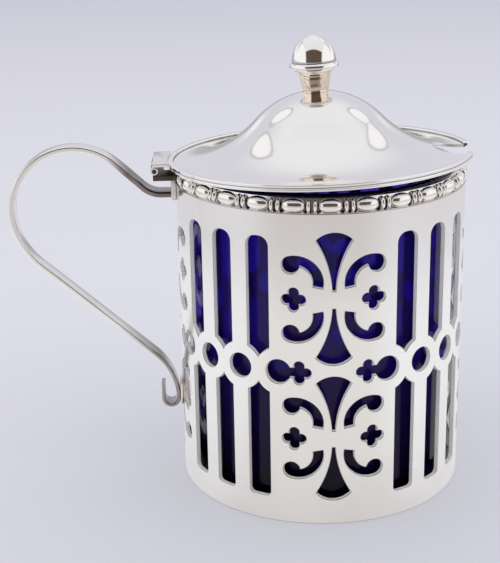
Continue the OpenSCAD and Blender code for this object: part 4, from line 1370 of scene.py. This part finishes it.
def makeTent(s):
    world = bpy.data.worlds.new("studioTent")
    bpy.context.scene.world = world
    world.use_nodes = True
    tree = world.node_tree
    tree.nodes.clear()
    at = put(tree, "ShaderNodeSeparateXYZ", {0: put(tree, "ShaderNodeTexCoord").outputs["Generated"]}).outputs
    high = inDegrees(tree, calc(tree, "ARCSINE", at["Z"]))
    ahead, aside, away = fromOpening(tree, at, s)
    broad = inDegrees(tree, calc(tree, "ARCSINE", aside))
    rise = inDegrees(tree, calc(tree, "ARCTAN2", at["Z"], ahead))
    wall = blendColour(tree, ease(tree, high, *s["wallEnd"]), paint(s["wall"]), paint(s["ceiling"]))
    narrow = ease(tree, broad, *s["gapHalf"][::-1])
    inFront = times(tree, narrow, ease(tree, ahead, *s["gapAhead"]))
    colour = blendColour(tree, inFront, wall, paint(s["gapTop"]))
    # a white panel at each side, with a low one behind it
    sides = times(tree, ease(tree, broad, *s["panelFrom"]), ease(tree, away, *s["panelTo"][::-1]))
    low = times(tree, within(tree, away, s["lowPanel"]), ease(tree, high, *s["lowPanelTop"][::-1]))
    colour = blendColour(tree, calc(tree, "MAXIMUM", sides, low), colour, paint(s["panel"]))
    # an oval pane with a darker frame on each side of the back wall
    turned, lifted = [calc(tree, "DIVIDE", calc(tree, "SUBTRACT", angle, hub), half)
                      for angle, hub, half in zip((away, high), s["paneHub"], s["paneHalf"])]
    oval = calc(tree, "ADD", times(tree, turned, turned), times(tree, lifted, lifted))
    oval = calc(tree, "SQRT", oval)
    colour = blendColour(tree, ease(tree, oval, *s["frameEdge"][::-1]), colour, paint(s["frame"]))
    colour = blendColour(tree, ease(tree, oval, *s["paneEdge"][::-1]), colour, paint(s["pane"]))
    # a dull band low behind the pot, which draws its outlines
    dark = times(tree, ease(tree, high, *s["behindHigh"][::-1]), ease(tree, away, *s["behindTurn"]))
    colour = blendColour(tree, dark, colour, paint(s["behind"]))
    # the opening itself
    colour = blendColour(tree, times(tree, narrow, within(tree, rise, s["gapRise"])), colour, paint(s["gap"]))
    mirrored, shown = mirroredRay(tree)
    colour = blendColour(tree, shown, colour, wall)
    seen = put(tree, "ShaderNodeBackground", {"Color": colour, "Strength": 1.0})
    fill = put(tree, "ShaderNodeBackground", {"Color": (1, 1, 1, 1), "Strength": s["ambient"]})
    both = put(tree, "ShaderNodeMixShader", {
        0: calc(tree, "MAXIMUM", mirrored, shown), 1: fill.outputs[0], 2: seen.outputs[0]})
    put(tree, "ShaderNodeOutputWorld", {"Surface": both.outputs[0]})


def makeLamps(s):
    for name, (place, size, power) in s["lamps"].items():
        lamp = bpy.data.lights.new(name, "AREA")
        lamp.shape = "RECTANGLE"
        lamp.size, lamp.size_y = size
        lamp.energy = power
        holder = bpy.data.objects.new(name, lamp)
        holder.location = place
        way = Vector(s["aim"]) - Vector(place)
        holder.rotation_euler = way.to_track_quat("-Z", "Y").to_euler()
        holder.visible_camera = False
        holder.visible_glossy = False  # metal mirrors the tent, not the lamps
        bpy.context.scene.collection.objects.link(holder)


makeFloor(studio)
makeTent(studio)
makeLamps(studio)
bpy.context.scene.view_settings.view_transform = "Standard"
print("studio made")
